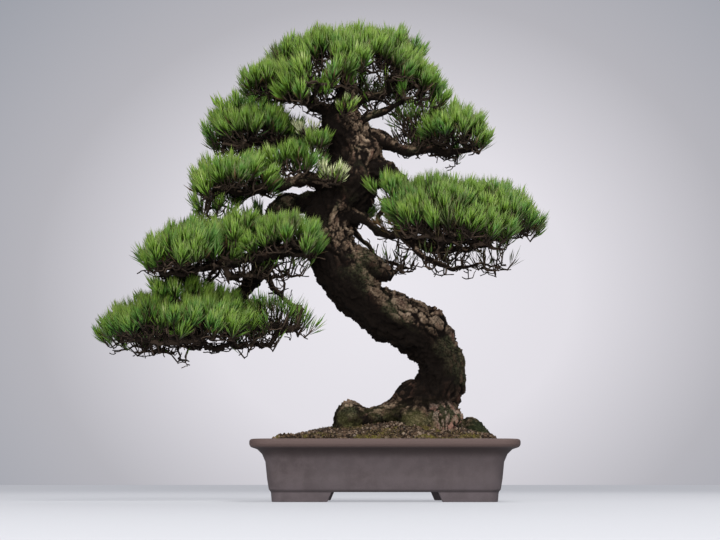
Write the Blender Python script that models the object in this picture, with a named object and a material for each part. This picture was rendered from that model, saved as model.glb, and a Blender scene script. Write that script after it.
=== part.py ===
"""A Japanese black pine bonsai, informal upright, in its own shallow rectangular pot.

Everything is measured in millimetres from the middle of the pot's foot line (x to the right,
y to the back, z up) and is placed by at(), which turns that into metres and moves it so that the
whole object stands centred on the origin.
"""

import math
import random

import bmesh
import bpy
import numpy as np
from mathutils import Matrix, Vector, noise
from mathutils.bvhtree import BVHTree

MM = 0.001
POT_RIGHT_OF_MIDDLE = 127.0
POT_BACK_OF_MIDDLE = -21.0
SEAT_GAP = 0.35

# The pot: a rounded rectangle with a flared rim, drawn in under it, on four corner feet.
RIM_HALF_LENGTH = 229.0
RIM_HALF_DEPTH = 166.0
RIM_CORNER = 34.0
CORNER_SHRINK = 0.4
CORNER_STEPS = 3
RIM_TOP = 105.0
FLOOR_TOP = 27.0
FOOT_HEIGHT = 16.5
POT_OUTSIDE = [  # inset from the rim's edge, height
    (37.5, 0.0), (36.0, FOOT_HEIGHT), (32.5, 21.0), (29.5, 39.0), (26.5, 67.0), (21.0, 80.0),
    (13.0, 88.0), (2.5, 91.5), (0.0, 95.5), (0.0, 102.0), (2.5, RIM_TOP)]
POT_INSIDE = [(23.0, RIM_TOP), (26.0, 101.5), (37.0, 60.0), (41.0, FLOOR_TOP)]
FOOT_WALL = 15.0
FOOT_GAP_HALF = (90.0, 97.0)
SIDE_GAP_HALF = (52.0, 58.0)
DRAIN_HOLES = ((-95.0, 0.0, 15.0), (95.0, 0.0, 15.0))

# The soil: fills the pot and rises in a mound to the roots.
SOIL_EDGE_HEIGHT = 97.0
MOUND_CENTRE = (40.0, 5.0)
MOUND_HALF = (215.0, 150.0)
MOUND_RISE = 33.0
SOIL_RINGS = (0.97, 0.88, 0.72, 0.52, 0.28)

# Trunk and roots, as middle line and radius: x, y, z, radius.
TRUNK = [
    (90, 10, 66, 52), (92, 10, 105, 60), (87, 8, 140, 56), (89, 4, 172, 53), (95, 0, 204, 51),
    (98, -4, 232, 47), (91, -8, 263, 48), (73, -12, 291, 49), (44, -15, 316, 47), (12, -17, 334, 43),
    (-19, -17, 350, 41), (-44, -15, 371, 43), (-66, -12, 399, 45), (-82, -8, 429, 47), (-91, -4, 461, 46),
    (-91, 0, 493, 46), (-82, 3, 528, 51), (-68, 5, 562, 52), (-57, 5, 596, 52), (-55, 3, 629, 50),
    (-62, 0, 659, 43), (-70, -3, 685, 35), (-72, -6, 711, 26), (-68, -10, 739, 18), (-62, -14, 770, 12),
    (-66, -16, 804, 8), (-70, -16, 828, 5)]
ROOTS = {
    "left": [(75, -5, 175, 34), (38, -14, 160, 24), (5, -22, 150, 17), (-25, -28, 144, 18),
             (-58, -32, 138, 27), (-86, -34, 124, 20), (-108, -36, 100, 10)],
    "front": [(92, -8, 165, 34), (86, -34, 147, 36), (80, -58, 126, 30), (76, -84, 98, 18)],
    "front_left": [(70, -5, 160, 30), (48, -34, 138, 30), (34, -60, 116, 24), (20, -84, 94, 12)],
    "right": [(105, 0, 150, 34), (134, -10, 122, 22), (156, -22, 121, 23), (174, -30, 104, 15),
              (178, -34, 88, 8)],
    "back": [(95, 20, 150, 34), (104, 52, 128, 28), (110, 86, 106, 18), (114, 104, 92, 10)],
    "back_left": [(78, 16, 150, 32), (44, 46, 126, 24), (14, 70, 106, 15), (-8, 84, 92, 8)],
    "thin_left": [(58, -46, 128, 12), (30, -58, 126, 8), (4, -64, 122, 7), (-16, -66, 112, 5)],
}
KNOBS = [  # old cuts and burls on the trunk: place, width, how far they stand out
    ((0, -58, 372), 26, 11), ((-26, -52, 424), 24, 9), ((40, -30, 372), 26, 12), ((-50, -48, 572), 28, 12),
    ((-16, -30, 640), 26, 12), ((-132, -14, 520), 26, 13), ((6, 30, 372), 26, 10)]
KNOB_LEAST_RADIUS = 30
BARK_SHIFT = (123.0, -27.0, 0.0)
TRUNK_SIDES_STEP = (10, 19)
ROOT_SIDES_STEP = (6, 40)
LIMB_STEP = 60

LIMBS = {
    "low": [(-84, 6, 512, 30), (-118, 22, 541, 25), (-154, 36, 548, 23), (-184, 44, 538, 22),
            (-205, 44, 506, 20), (-207, 36, 467, 19), (-215, 24, 430, 17), (-236, 12, 402, 14),
            (-268, 6, 368, 11), (-312, 2, 334, 9), (-364, 0, 318, 7), (-425, -4, 312, 5),
            (-470, -10, 314, 3.5)],
    "left_3": [(-95, -10, 480, 22), (-124, -34, 468, 17), (-154, -62, 450, 13), (-190, -78, 434, 11),
               (-238, -84, 422, 9.5), (-298, -80, 412, 8), (-352, -74, 406, 6), (-390, -70, 406, 4)],
    "left_2": [(-84, -6, 582, 20), (-118, -28, 576, 15), (-152, -52, 568, 12), (-198, -70, 556, 10),
               (-240, -76, 545, 8), (-284, -76, 542, 5.5), (-318, -74, 546, 3.5)],
    "up_left": [(-68, 4, 648, 20), (-96, 16, 664, 15), (-130, 26, 674, 12), (-176, 32, 676, 9),
                (-230, 32, 672, 7), (-280, 30, 670, 5), (-314, 28, 676, 3.5)],
    "crown_left": [(-70, -4, 698, 18), (-106, -12, 722, 12), (-148, -18, 738, 9), (-190, -20, 750, 7),
                   (-226, -18, 762, 5), (-248, -16, 772, 3.5)],
    "crown_right": [(-70, -6, 712, 15), (-34, -10, 736, 10), (8, -10, 750, 8), (52, -6, 760, 6),
                    (92, 0, 766, 4), (108, 2, 772, 3)],
    "crown_front": [(-66, -12, 742, 10), (-74, -46, 764, 7), (-84, -82, 782, 5), (-88, -104, 792, 3.5)],
    "crown_back": [(-66, -6, 736, 11), (-58, 34, 758, 8), (-50, 74, 778, 5.5), (-46, 104, 790, 3.5)],
    "up_right": [(-44, 0, 666, 20), (-12, -4, 665, 15), (14, -8, 648, 12), (44, -8, 636, 10),
                 (94, -2, 642, 8.5), (126, 4, 636, 7), (160, 6, 644, 5), (182, 6, 656, 3.5)],
    "right_mid": [(-70, -10, 534, 24), (-36, -42, 514, 15), (-6, -62, 484, 12), (16, -74, 469, 11),
                  (40, -78, 471, 10), (66, -80, 456, 9), (100, -78, 446, 8), (140, -74, 453, 6.5),
                  (186, -70, 464, 5), (222, -66, 476, 3.5)],
    "right_low": [(42, -78, 469, 7.5), (52, -88, 446, 6.5), (70, -92, 422, 5.5), (102, -92, 408, 5),
                  (140, -88, 404, 4), (176, -80, 412, 3.2)],
    "right_back": [(-64, 4, 520, 18), (-38, 30, 498, 11), (-12, 44, 470, 8), (10, 46, 446, 6),
                   (36, 44, 430, 4.5), (62, 40, 424, 3.5)],
    "back": [(-78, 14, 545, 24), (-74, 56, 548, 15), (-78, 100, 542, 11), (-84, 146, 540, 8),
             (-86, 186, 546, 5), (-88, 214, 552, 3.5)],
    "back_high": [(-58, 8, 640, 20), (-50, 46, 652, 13), (-56, 84, 656, 9), (-64, 120, 662, 6),
                  (-70, 142, 668, 3.5)],
    "low_right": [(-216, 22, 424, 9), (-208, -6, 398, 7), (-190, -24, 372, 6), (-168, -30, 352, 5),
                  (-148, -32, 342, 3.5)],
    "left_2_back": [(-168, 40, 546, 10), (-188, 72, 532, 7), (-208, 98, 518, 5), (-222, 112, 514, 3.5)],
}

# Foliage pads: middle of the shoots (x, y, z), half lengths (x, y), how far the edge lies below the
# middle, slope along x, sprays, shoots in each, and the limb whose ribs carry them.
PADS = [
    ("low_outer", (-444, -4, 352), (80, 110), 36, 0.14, 5, 5, 3),
    ("low_inner", (-312, 0, 374), (66, 112), 40, 0.05, 4, 5, 2),
    ("low_right", (-178, -28, 356), (54, 54), 24, 0.02, 2, 4, 2),
    ("left_3", (-342, -74, 472), (72, 82), 44, 0.24, 4, 5, 2),
    ("left_3_right", (-182, -80, 474), (68, 62), 26, 0.05, 2, 5, 2),
    ("left_2", (-270, -70, 592), (64, 70), 26, 0.24, 3, 5, 2),
    ("left_2_right", (-146, -62, 622), (34, 42), 20, 0.35, 2, 3, 1),
    ("left_2_low", (-330, -62, 532), (22, 26), 8, 0.1, 1, 3, 0),
    ("up_left", (-248, 26, 716), (88, 98), 30, 0.02, 5, 5, 2),
    ("crown_top", (-72, -2, 866), (118, 112), 62, 0.0, 7, 5, 4),
    ("crown_left", (-222, -18, 800), (44, 66), 28, 0.2, 2, 4, 2),
    ("crown_right", (84, 0, 796), (36, 66), 26, -0.3, 2, 4, 2),
    ("crown_front", (-106, -108, 776), (60, 30), 16, 0.0, 1, 5, 1),
    ("up_right", (134, 2, 702), (62, 66), 34, -0.12, 3, 4, 2),
    ("right_mid", (92, -76, 556), (96, 100), 34, -0.02, 5, 5, 3),
    ("right_mid_outer", (212, -66, 536), (56, 74), 34, -0.34, 3, 4, 1),
    ("right_low", (196, -74, 438), (30, 32), 10, 0.0, 1, 3, 0),
    ("right_back", (44, 40, 446), (40, 34), 10, 0.0, 1, 4, 0),
    ("back", (-84, 168, 588), (52, 60), 28, 0.0, 2, 4, 1),
    ("back_high", (-66, 122, 706), (46, 46), 22, 0.0, 1, 4, 0),
    ("left_2_back", (-222, 92, 538), (34, 34), 12, 0.0, 1, 3, 0),
]
SHOOT_BELOW_PAD = 3.0
SHOOT_LEAN = 0.95
SPRAY_MIDDLES = 0.74
GROUP_ROUNDS = 12
HUB_BELOW_SHOOTS = 24.0
THICK_LIMB = 12
RIB_REACH = 0.62
RIB_BELOW = 40.0
RIB_LEAST = 24.0
RIB_THICKEST = 5.0
RIB_TIP = 2.6
RIB_FOOT_SHARE = 0.45
TOP_LIMB_HEIGHT = 720.0

NEEDLE_LENGTH = (29.0, 36.0)
NEEDLE_SPREAD = (64.0, 16.0)
NEEDLE_RADII = (1.5, 0.8)
NEEDLE_WAIST = 0.4
TIP_RADIUS = 0.3
NEEDLE_CLEAR = 1.1
NEEDLE_TRIES = 5
LONG_TRIES = 4
SHORT_NEEDLE = 0.62
CANDLE_STEPS = ((4.0, 2.2), (8.0, 1.9))
HUB_RADIUS = 3.4
STEM_RISE = 6.0
TWIG_RADIUS = (2.4, 1.7)
TWIG_CLEAR = 2.6
STEM_FOOT = 2.7
SEAT_LEAST = 0.22
BARK_STEP = 3.5
TWIG_LEAST = 0.3
TWIG_ANGLE = math.radians(30)
SPRAY_TRIES = 160
SEED = 41

COLOURS = {  # colour, roughness
    "pot": ((0.135, 0.105, 0.105), 0.8),
    "soil": ((0.085, 0.065, 0.03), 0.95),
    "trunk": ((0.045, 0.032, 0.026), 0.9),
    "needles": ((0.06, 0.17, 0.03), 0.55),
}


def at(x, y, z):
    """A point given in millimetres from the pot's middle, in metres in the object's frame."""
    return Vector(((x + POT_RIGHT_OF_MIDDLE) * MM, (y + POT_BACK_OF_MIDDLE) * MM, z * MM))


def millimetres(place):
    """The reverse of at()."""
    return np.array(place) / MM - (POT_RIGHT_OF_MIDDLE, POT_BACK_OF_MIDDLE, 0.0)


def clear_scene():
    for obj in list(bpy.data.objects):
        bpy.data.objects.remove(obj, do_unlink=True)


def new_collection(name):
    made = bpy.data.collections.new(name)
    bpy.context.scene.collection.children.link(made)
    return made


def material(name):
    colour, roughness = COLOURS[name]
    made = bpy.data.materials.new(name)
    made.use_nodes = True
    shader = made.node_tree.nodes["Principled BSDF"]
    shader.inputs["Base Color"].default_value = (*colour, 1.0)
    shader.inputs["Roughness"].default_value = roughness
    shader.inputs["Metallic"].default_value = 0.0
    return made


def object_from(name, mesh, collection, slot=None):
    obj = bpy.data.objects.new(name, mesh)
    collection.objects.link(obj)
    if slot:
        mesh.materials.append(slot)
    return obj


def mesh_from(name, build):
    """A mesh made by a function that fills a bmesh."""
    form = bmesh.new()
    build(form)
    bmesh.ops.recalc_face_normals(form, faces=form.faces)
    mesh = bpy.data.meshes.new(name)
    form.to_mesh(mesh)
    form.free()
    return mesh


def apply_modifiers(obj):
    graph = bpy.context.evaluated_depsgraph_get()
    mesh = bpy.data.meshes.new_from_object(obj.evaluated_get(graph), depsgraph=graph)
    old = obj.data
    obj.modifiers.clear()
    obj.data = mesh
    bpy.data.meshes.remove(old)
    return obj


def boolean(obj, operation, target, solver="MANIFOLD"):
    """Joins or cuts by an object, or by every object of a collection, and applies it."""
    modifier = obj.modifiers.new(operation.lower(), "BOOLEAN")
    modifier.operation = operation
    modifier.solver = solver
    if isinstance(target, bpy.types.Collection):
        modifier.operand_type = "COLLECTION"
        modifier.collection = target
    else:
        modifier.object = target
    return apply_modifiers(obj)


def keep_largest_body(obj):
    """Drops loose scraps that a cut has left."""
    form = bmesh.new()
    form.from_mesh(obj.data)
    left = set(form.verts)
    bodies = []
    while left:
        queue = [left.pop()]
        body = set(queue)
        while queue:
            for edge in queue.pop().link_edges:
                for vertex in edge.verts:
                    if vertex in left:
                        left.discard(vertex)
                        body.add(vertex)
                        queue.append(vertex)
        bodies.append(body)
    largest = max(bodies, key=len)
    bmesh.ops.delete(form, geom=[v for v in form.verts if v not in largest], context="VERTS")
    form.to_mesh(obj.data)
    form.free()


def join_all(first, others, collection_name):
    """One closed body from pieces that overlap."""
    helpers = new_collection(collection_name)
    for obj in others:
        for owner in list(obj.users_collection):
            owner.objects.unlink(obj)
        helpers.objects.link(obj)
    boolean(first, "UNION", helpers)
    for obj in list(helpers.objects):
        bpy.data.objects.remove(obj, do_unlink=True)
    bpy.data.collections.remove(helpers)
    return first


# Pot


def rounded_rectangle(inset, corner_steps=CORNER_STEPS):
    """Points round the pot's outline, counter-clockwise, drawn in from the rim's edge by inset."""
    half_length = RIM_HALF_LENGTH - inset
    half_depth = RIM_HALF_DEPTH - inset
    radius = RIM_CORNER - CORNER_SHRINK * inset
    corners = ((1, 1, 0), (-1, 1, 90), (-1, -1, 180), (1, -1, 270))
    points = []
    for side_x, side_y, start in corners:
        for step in range(corner_steps + 1):
            turn = math.radians(start + 90 * step / corner_steps)
            x = side_x * (half_length - radius) + radius * math.cos(turn)
            y = side_y * (half_depth - radius) + radius * math.sin(turn)
            points.append((x, y))
    return points


def ring_of(form, points, height):
    return [form.verts.new(at(x, y, height)) for x, y in points]


def bridge(form, lower, upper):
    count = len(lower)
    for i in range(count):
        j = (i + 1) % count
        form.faces.new((lower[i], lower[j], upper[j], upper[i]))


def pot_shell(form):
    rings = [ring_of(form, rounded_rectangle(inset), z) for inset, z in POT_OUTSIDE + POT_INSIDE]
    for lower, upper in zip(rings, rings[1:]):
        bridge(form, lower, upper)
    form.faces.new(list(reversed(rings[0])))
    form.faces.new(rings[-1])


def foot_hollow(form):
    inset = POT_OUTSIDE[0][0] + FOOT_WALL
    low = ring_of(form, rounded_rectangle(inset), -2.0)
    high = ring_of(form, rounded_rectangle(inset), FOOT_HEIGHT)
    bridge(form, low, high)
    form.faces.new(list(reversed(low)))
    form.faces.new(high)


def foot_gap(form, half_top, half_bottom, reach, along_x):
    """A slot between two feet, wider at the surface that the pot stands on."""
    drop = 2.0
    flare = (half_bottom - half_top) / FOOT_HEIGHT
    profile = ((-half_bottom - flare * drop, -drop), (half_bottom + flare * drop, -drop),
               (half_top, FOOT_HEIGHT), (-half_top, FOOT_HEIGHT))
    ends = []
    for end in (-reach, reach):
        if along_x:
            ends.append([form.verts.new(at(end, across, z)) for across, z in profile])
        else:
            ends.append([form.verts.new(at(across, end, z)) for across, z in profile])
    bridge(form, *ends)
    form.faces.new(ends[0])
    form.faces.new(list(reversed(ends[1])))


def round_hole(form, x, y, radius):
    place = Matrix.Translation(at(x, y, FLOOR_TOP / 2))
    bmesh.ops.create_cone(form, cap_ends=True, segments=12, radius1=radius * MM,
                          radius2=radius * MM, depth=(FLOOR_TOP + 12) * MM, matrix=place)


def make_pot(parts, cutters):
    pot = object_from("pot", mesh_from("pot", pot_shell), parts, material("pot"))
    cuts = [
        lambda form: foot_hollow(form),
        lambda form: foot_gap(form, *FOOT_GAP_HALF, RIM_HALF_DEPTH + 10, False),
        lambda form: foot_gap(form, *SIDE_GAP_HALF, RIM_HALF_LENGTH + 10, True),
    ]
    for hole in DRAIN_HOLES:
        cuts.append(lambda form, hole=hole: round_hole(form, *hole))
    for number, cut in enumerate(cuts):
        cutter = object_from(f"pot_cut_{number}", mesh_from("pot_cut", cut), cutters)
        boolean(pot, "DIFFERENCE", cutter)
        bpy.data.objects.remove(cutter, do_unlink=True)
    pot.data.shade_smooth()
    pot.data.set_sharp_from_angle(angle=math.radians(35))
    return pot


# Trunk, roots and limbs


def smooth_route(route, step):
    """Points along a route, about one every step millimetres, on one smooth curve."""
    rows = [np.array(row, float) for row in route]
    rows = [2 * rows[0] - rows[1], *rows, 2 * rows[-1] - rows[-2]]
    points = []
    for i in range(1, len(rows) - 2):
        a, b, c, d = rows[i - 1 : i + 3]
        count = max(1, round(float(np.linalg.norm((c - b)[:3])) / step))
        for k in range(count):
            t = k / count
            points.append(0.5 * (2 * b + (c - a) * t + (2 * a - 5 * b + 4 * c - d) * t**2
                                 + (3 * b - a - 3 * c + d) * t**3))
    points.append(rows[-2])
    return points


def bark_relief(place, radius):
    """How far the bark stands out, in millimetres: broad plates, furrows between them, and knobs."""
    p = Vector(millimetres(place)) + Vector(BARK_SHIFT)
    plates = noise.noise(Vector((p.x / 26, p.y / 26, p.z / 38)))
    furrows = noise.noise(Vector((p.x / 11 + 7, p.y / 11, p.z / 17)))
    raised = 0.0
    if radius > KNOB_LEAST_RADIUS:
        for middle, wide, out in KNOBS:
            apart = (at(*middle) - place).length / MM / wide
            raised += out * math.exp(-(apart**2) * 1.6)
    return min(radius, 45) * (0.13 * plates + 0.06 * furrows) + raised


def tube(name, route, sides, step, collection, grow=0.0, relief=1.0):
    """A limb: a bevelled curve along its route, its surface raised into bark."""
    points = smooth_route(route, step)
    curve = bpy.data.curves.new(name, "CURVE")
    curve.dimensions = "3D"
    curve.bevel_depth = MM
    curve.bevel_resolution = (sides - 4) // 2
    curve.use_fill_caps = True
    spline = curve.splines.new("POLY")
    spline.points.add(len(points) - 1)
    for point, (x, y, z, radius) in zip(spline.points, points):
        point.co = (*at(x, y, z), 1.0)
        point.radius = max(radius, 1.5)
    guide = object_from(name, curve, collection)
    graph = bpy.context.evaluated_depsgraph_get()
    mesh = bpy.data.meshes.new_from_object(guide.evaluated_get(graph), depsgraph=graph)
    bpy.data.objects.remove(guide, do_unlink=True)
    form = bmesh.new()
    form.from_mesh(mesh)
    bmesh.ops.remove_doubles(form, verts=form.verts, dist=1e-6)
    bmesh.ops.recalc_face_normals(form, faces=form.faces)
    form.normal_update()
    middles = [(at(*point[:3]), float(point[3])) for point in points]
    moves = []
    for vertex in form.verts:
        radius = min(middles, key=lambda row: (row[0] - vertex.co).length_squared)[1]
        out = relief * bark_relief(vertex.co, radius) + grow
        moves.append(vertex.normal * out * MM)
    for vertex, move in zip(form.verts, moves):
        vertex.co += move
    bmesh.ops.triangulate(form, faces=form.faces)
    form.to_mesh(mesh)
    form.free()
    return object_from(name, mesh, collection)


def root_pieces(collection, grow):
    base = tube("trunk", TRUNK, *TRUNK_SIDES_STEP, collection, grow)
    others = [tube(f"root_{name}", route, *ROOT_SIDES_STEP, collection, grow) for name, route in ROOTS.items()]
    return base, others


def nearest_on(limb_points, place):
    return min(limb_points, key=lambda row: np.linalg.norm(row[:3] - place))


def pad_height(pad, x, y):
    """Height of a pad's shoots over a point, falling away to its edge."""
    _, centre, half, drop, slope, *_ = pad
    away = math.hypot((x - centre[0]) / half[0], (y - centre[1]) / half[1])
    return centre[2] - drop * min(away, 1.15) ** 2 + slope * (x - centre[0])


def rib_routes():
    """Side branches that fan out from the limbs under each pad."""
    limb_points = [point for route in LIMBS.values() for point in smooth_route(route, 10)]
    limb_points += [point for point in smooth_route(TRUNK, 10) if point[2] > TOP_LIMB_HEIGHT]
    draw = random.Random(SEED)
    routes = []
    for pad in PADS:
        name, centre, half, *_, count = pad
        for k in range(count):
            turn = 2 * math.pi * (k + 0.5) / count + draw.uniform(-0.25, 0.25) + 0.6
            end_x = centre[0] + RIB_REACH * half[0] * math.cos(turn)
            end_y = centre[1] + RIB_REACH * half[1] * math.sin(turn)
            end = np.array((end_x, end_y, pad_height(pad, end_x, end_y) - RIB_BELOW + draw.uniform(-4, 4)))
            foot = RIB_FOOT_SHARE * end + (1 - RIB_FOOT_SHARE) * np.array(centre, float)
            start = nearest_on(limb_points, foot)
            if start[3] < RIB_TIP or np.linalg.norm(end - start[:3]) < RIB_LEAST:
                continue
            bend = 0.5 * (start[:3] + end)
            bend += np.array((draw.uniform(-7, 7), draw.uniform(-7, 7), draw.uniform(-9, -1)))
            thick = min(0.75 * start[3], RIB_THICKEST)
            routes.append((f"{name}_{k}", [(*start[:3], thick), (*bend, 0.75 * thick), (*end, RIB_TIP)]))
    return routes


def make_trunk(parts):
    trunk, pieces = root_pieces(parts, 0.0)
    for name, route in LIMBS.items():
        sides = 6 if route[0][3] > THICK_LIMB else 4
        pieces.append(tube(f"limb_{name}", route, sides, LIMB_STEP, parts))
    for name, route in rib_routes():
        pieces.append(tube(f"rib_{name}", route, 4, LIMB_STEP, parts, relief=0.4))
    join_all(trunk, pieces, "trunk_pieces")
    keep_largest_body(trunk)
    trunk.data.materials.clear()
    trunk.data.materials.append(material("trunk"))
    return trunk


# Soil


def soil_height(x, y, edge):
    """Height of the soil: low along the rim, mounded up to the roots; edge runs from 0 to 1."""
    away = math.hypot((x - MOUND_CENTRE[0]) / MOUND_HALF[0], (y - MOUND_CENTRE[1]) / MOUND_HALF[1])
    mound = MOUND_RISE * max(0.0, 1 - away) ** 0.75
    shoulder = 9.0 * min(1.0, (1 - edge) / 0.12)
    grain = 2.6 * noise.noise(Vector((x / 17, y / 17, 3.0))) * min(1.0, 6 * (1 - edge))
    return SOIL_EDGE_HEIGHT + mound * min(1.0, 2.5 * (1 - edge)) + shoulder + grain


def inner_inset(height):
    """The pot's inner wall at a height, as an inset from the rim's edge."""
    rows = sorted((z, inset) for inset, z in POT_INSIDE)
    for (low, low_inset), (high, high_inset) in zip(rows, rows[1:]):
        if low <= height <= high:
            return low_inset + (high_inset - low_inset) * (height - low) / (high - low)
    return rows[-1][1]


def soil_body(form):
    rings = []
    for height in (FLOOR_TOP + SEAT_GAP, 60.0, SOIL_EDGE_HEIGHT):
        outline = rounded_rectangle(inner_inset(height) + SEAT_GAP)
        rings.append(ring_of(form, outline, height))
    outline = rounded_rectangle(inner_inset(SOIL_EDGE_HEIGHT) + SEAT_GAP)
    for share in SOIL_RINGS:
        ring = []
        for x, y in outline:
            ring.append(form.verts.new(at(share * x, share * y, soil_height(share * x, share * y, share))))
        rings.append(ring)
    for lower, upper in zip(rings, rings[1:]):
        bridge(form, lower, upper)
    form.faces.new(list(reversed(rings[0])))
    top = form.verts.new(at(0, 0, soil_height(0, 0, 0)))
    last = rings[-1]
    for i, vertex in enumerate(last):
        form.faces.new((vertex, last[(i + 1) % len(last)], top))
    bmesh.ops.triangulate(form, faces=form.faces)


def make_soil(parts, cutters):
    soil = object_from("soil", mesh_from("soil", soil_body), parts, material("soil"))
    hole, pieces = root_pieces(cutters, SEAT_GAP + 0.1)
    join_all(hole, pieces, "hole_pieces")
    boolean(soil, "DIFFERENCE", hole)
    bpy.data.objects.remove(hole, do_unlink=True)
    keep_largest_body(soil)
    return soil


# Foliage


class Crowd:
    """The straight stretches already placed, with their radii, to keep new ones clear of them."""

    def __init__(self, surface):
        self.surface = surface
        self.starts = np.zeros((0, 3))
        self.ends = np.zeros((0, 3))
        self.radii = np.zeros(0)
        self.owners = np.zeros(0, int)

    def add(self, start, end, radius, owner):
        self.starts = np.vstack((self.starts, start))
        self.ends = np.vstack((self.ends, end))
        self.radii = np.append(self.radii, radius)
        self.owners = np.append(self.owners, owner)

    def gap(self, start, end, radius, skip):
        """The smallest gap from a new stretch to those of other owners."""
        use = ~np.isin(self.owners, skip)
        if not use.any():
            return 1e9
        p, q = self.starts[use], self.ends[use] - self.starts[use]
        d = end - start
        r = start - p
        a, e, f = d @ d, (q * q).sum(1), (q * r).sum(1)
        b, c = q @ d, r @ d
        det = np.maximum(a * e - b * b, 1e-9)
        s = np.clip((b * f - c * e) / det, 0, 1)
        t = np.clip((b * s + f) / e, 0, 1)
        s = np.clip((b * t - c) / a, 0, 1)
        apart = np.linalg.norm(r + s[:, None] * d - t[:, None] * q, axis=1)
        return float((apart - self.radii[use]).min() - radius)

    def outside(self, place):
        """How far a point lies outside the bark, negative inside it."""
        near, normal, _, apart = self.surface.find_nearest(at(*place))
        return math.copysign(apart, (at(*place) - near).dot(normal)) / MM

    def bark_gap(self, start, end, radius):
        """The smallest gap from a stretch to the trunk and its limbs."""
        count = 2 + int(np.linalg.norm(end - start) / BARK_STEP)
        return min(self.outside(start + share * (end - start)) for share in np.linspace(0, 1, count)) - radius

    def seat_gap(self, root, out, radius):
        """The smallest gap from a stem's three-cornered foot to the bark that it stands on."""
        first = unit(np.cross(out, (0.31, 0.52, 0.8)))
        second = np.cross(out, first)
        turns = [2 * math.pi * k / 8 for k in range(8)]
        return min(self.outside(root + radius * (math.cos(a) * first + math.sin(a) * second)) for a in turns)


def unit(v):
    return v / np.linalg.norm(v)


def sunflower(pad, count, reach):
    """Places spread evenly over a pad, like seeds in a sunflower."""
    _, centre, half, *_ = pad
    places = []
    for k in range(count):
        away = reach * math.sqrt((k + 0.5) / count) if count > 1 else 0.0
        turn = k * math.pi * (3 - math.sqrt(5)) + 0.8
        places.append((centre[0] + half[0] * away * math.cos(turn),
                       centre[1] + half[1] * away * math.sin(turn)))
    return places


def shoot_groups(pad):
    """The places of a pad's shoots, shared out among its sprays so that each has its nearest ones."""
    *_, sprays, shoots, _ = pad
    middles = sunflower(pad, sprays, SPRAY_MIDDLES)
    places = sunflower(pad, sprays * shoots, 1.0)
    for _ in range(GROUP_ROUNDS):
        pairs = sorted((math.dist(place, middle), i, k)
                       for i, place in enumerate(places) for k, middle in enumerate(middles))
        groups = [[] for _ in middles]
        shared = set()
        for _, i, k in pairs:
            if i not in shared and len(groups[k]) < shoots:
                shared.add(i)
                groups[k].append(places[i])
        middles = [tuple(np.mean(group, axis=0)) for group in groups]
    return groups


def shoots_of(pad, group, loose, draw):
    """Shoots of one spray: where each stands and the way it points."""
    _, centre, half, *_ = pad
    shift_x, shift_y = draw.uniform(-loose, loose), draw.uniform(-loose, loose)
    found = []
    for place_x, place_y in group:
        x = place_x + shift_x + draw.uniform(-3, 3)
        y = place_y + shift_y + draw.uniform(-3, 3)
        z = pad_height(pad, x, y) - SHOOT_BELOW_PAD + draw.uniform(-5, 3)
        out = np.array(((x - centre[0]) / half[0], (y - centre[1]) / half[1], 0.0))
        lean = np.array((draw.uniform(-0.2, 0.2), draw.uniform(-0.2, 0.2), 1.0))
        found.append((np.array((x, y, z)), unit(lean + SHOOT_LEAN * out)))
    return found


def draw_out(form, face, place, axis, radius):
    """Draws a three-cornered face out to a new place, square to axis; returns its end and its sides."""
    end = bmesh.ops.extrude_discrete_faces(form, faces=[face])["faces"][0]
    middle = end.calc_center_median()
    square = Vector(axis).normalized()
    first = end.verts[0].co - middle
    first = (first - first.dot(square) * square).normalized()
    second = square.cross(first)
    for k, vertex in enumerate(end.verts):
        turn = 2 * math.pi * k / 3
        vertex.co = at(*place) + radius * MM * (math.cos(turn) * first + math.sin(turn) * second)
    sides = [other for edge in end.edges for other in edge.link_faces if other is not end]
    return end, sides


def needle_way(axis, outward, share, draw):
    """The way a needle points: the higher it stands on the shoot, the nearer to the shoot's own way."""
    spread = math.radians(NEEDLE_SPREAD[0] + (NEEDLE_SPREAD[1] - NEEDLE_SPREAD[0]) * share)
    spread += math.radians(draw.uniform(-6, 6))
    twist = unit(np.cross(axis, outward)) * draw.uniform(-0.12, 0.12)
    return unit(math.cos(spread) * axis + math.sin(spread) * unit(outward + twist))


def raise_needles(form, faces, place, axis, owner, crowd, draw):
    """Raises a candle's faces into needles; one that finds no clear way stays a plain face."""
    own = Crowd(crowd.surface)
    height = CANDLE_STEPS[-1][0]
    for face in faces:
        middle = millimetres(face.calc_center_median())
        along = float((middle - place) @ axis)
        outward = middle - place - along * axis
        if np.linalg.norm(outward) < 0.2:
            outward = np.cross(axis, (0.3, 0.2, 0.9))
        length = draw.uniform(*NEEDLE_LENGTH)
        for attempt in range(NEEDLE_TRIES):
            way = needle_way(axis, unit(outward), along / height, draw)
            reach = length * (1.0 if attempt < LONG_TRIES else SHORT_NEEDLE)
            waist, tip = middle + way * NEEDLE_WAIST * reach, middle + way * reach
            stretches = ((middle + way, waist, NEEDLE_RADII[0]), (waist, tip, NEEDLE_RADII[1]))
            if (own.gap(waist, tip, TIP_RADIUS, []) > NEEDLE_CLEAR
                    and all(crowd.gap(*stretch, [owner]) > NEEDLE_CLEAR for stretch in stretches)
                    and all(crowd.bark_gap(*stretch) > NEEDLE_CLEAR for stretch in stretches)):
                poked = bmesh.ops.poke(form, faces=[face])
                poked["verts"][0].co = at(*tip)
                own.add(waist, tip, TIP_RADIUS, owner)
                for stretch in stretches:
                    crowd.add(*stretch, owner)
                break


def candle(form, end, place, axis):
    """A shoot's short stem at a twig's end, as steps; returns its faces as triangles."""
    faces = []
    for height, radius in CANDLE_STEPS:
        end, sides = draw_out(form, end, place + axis * height, axis, radius)
        faces += sides
    split = bmesh.ops.triangulate(form, faces=faces)["faces"]
    return split


def shoot_number(spray, shoot):
    """The owner's number of a shoot, apart from those of the sprays."""
    return 1000 + 10 * spray + shoot


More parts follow.
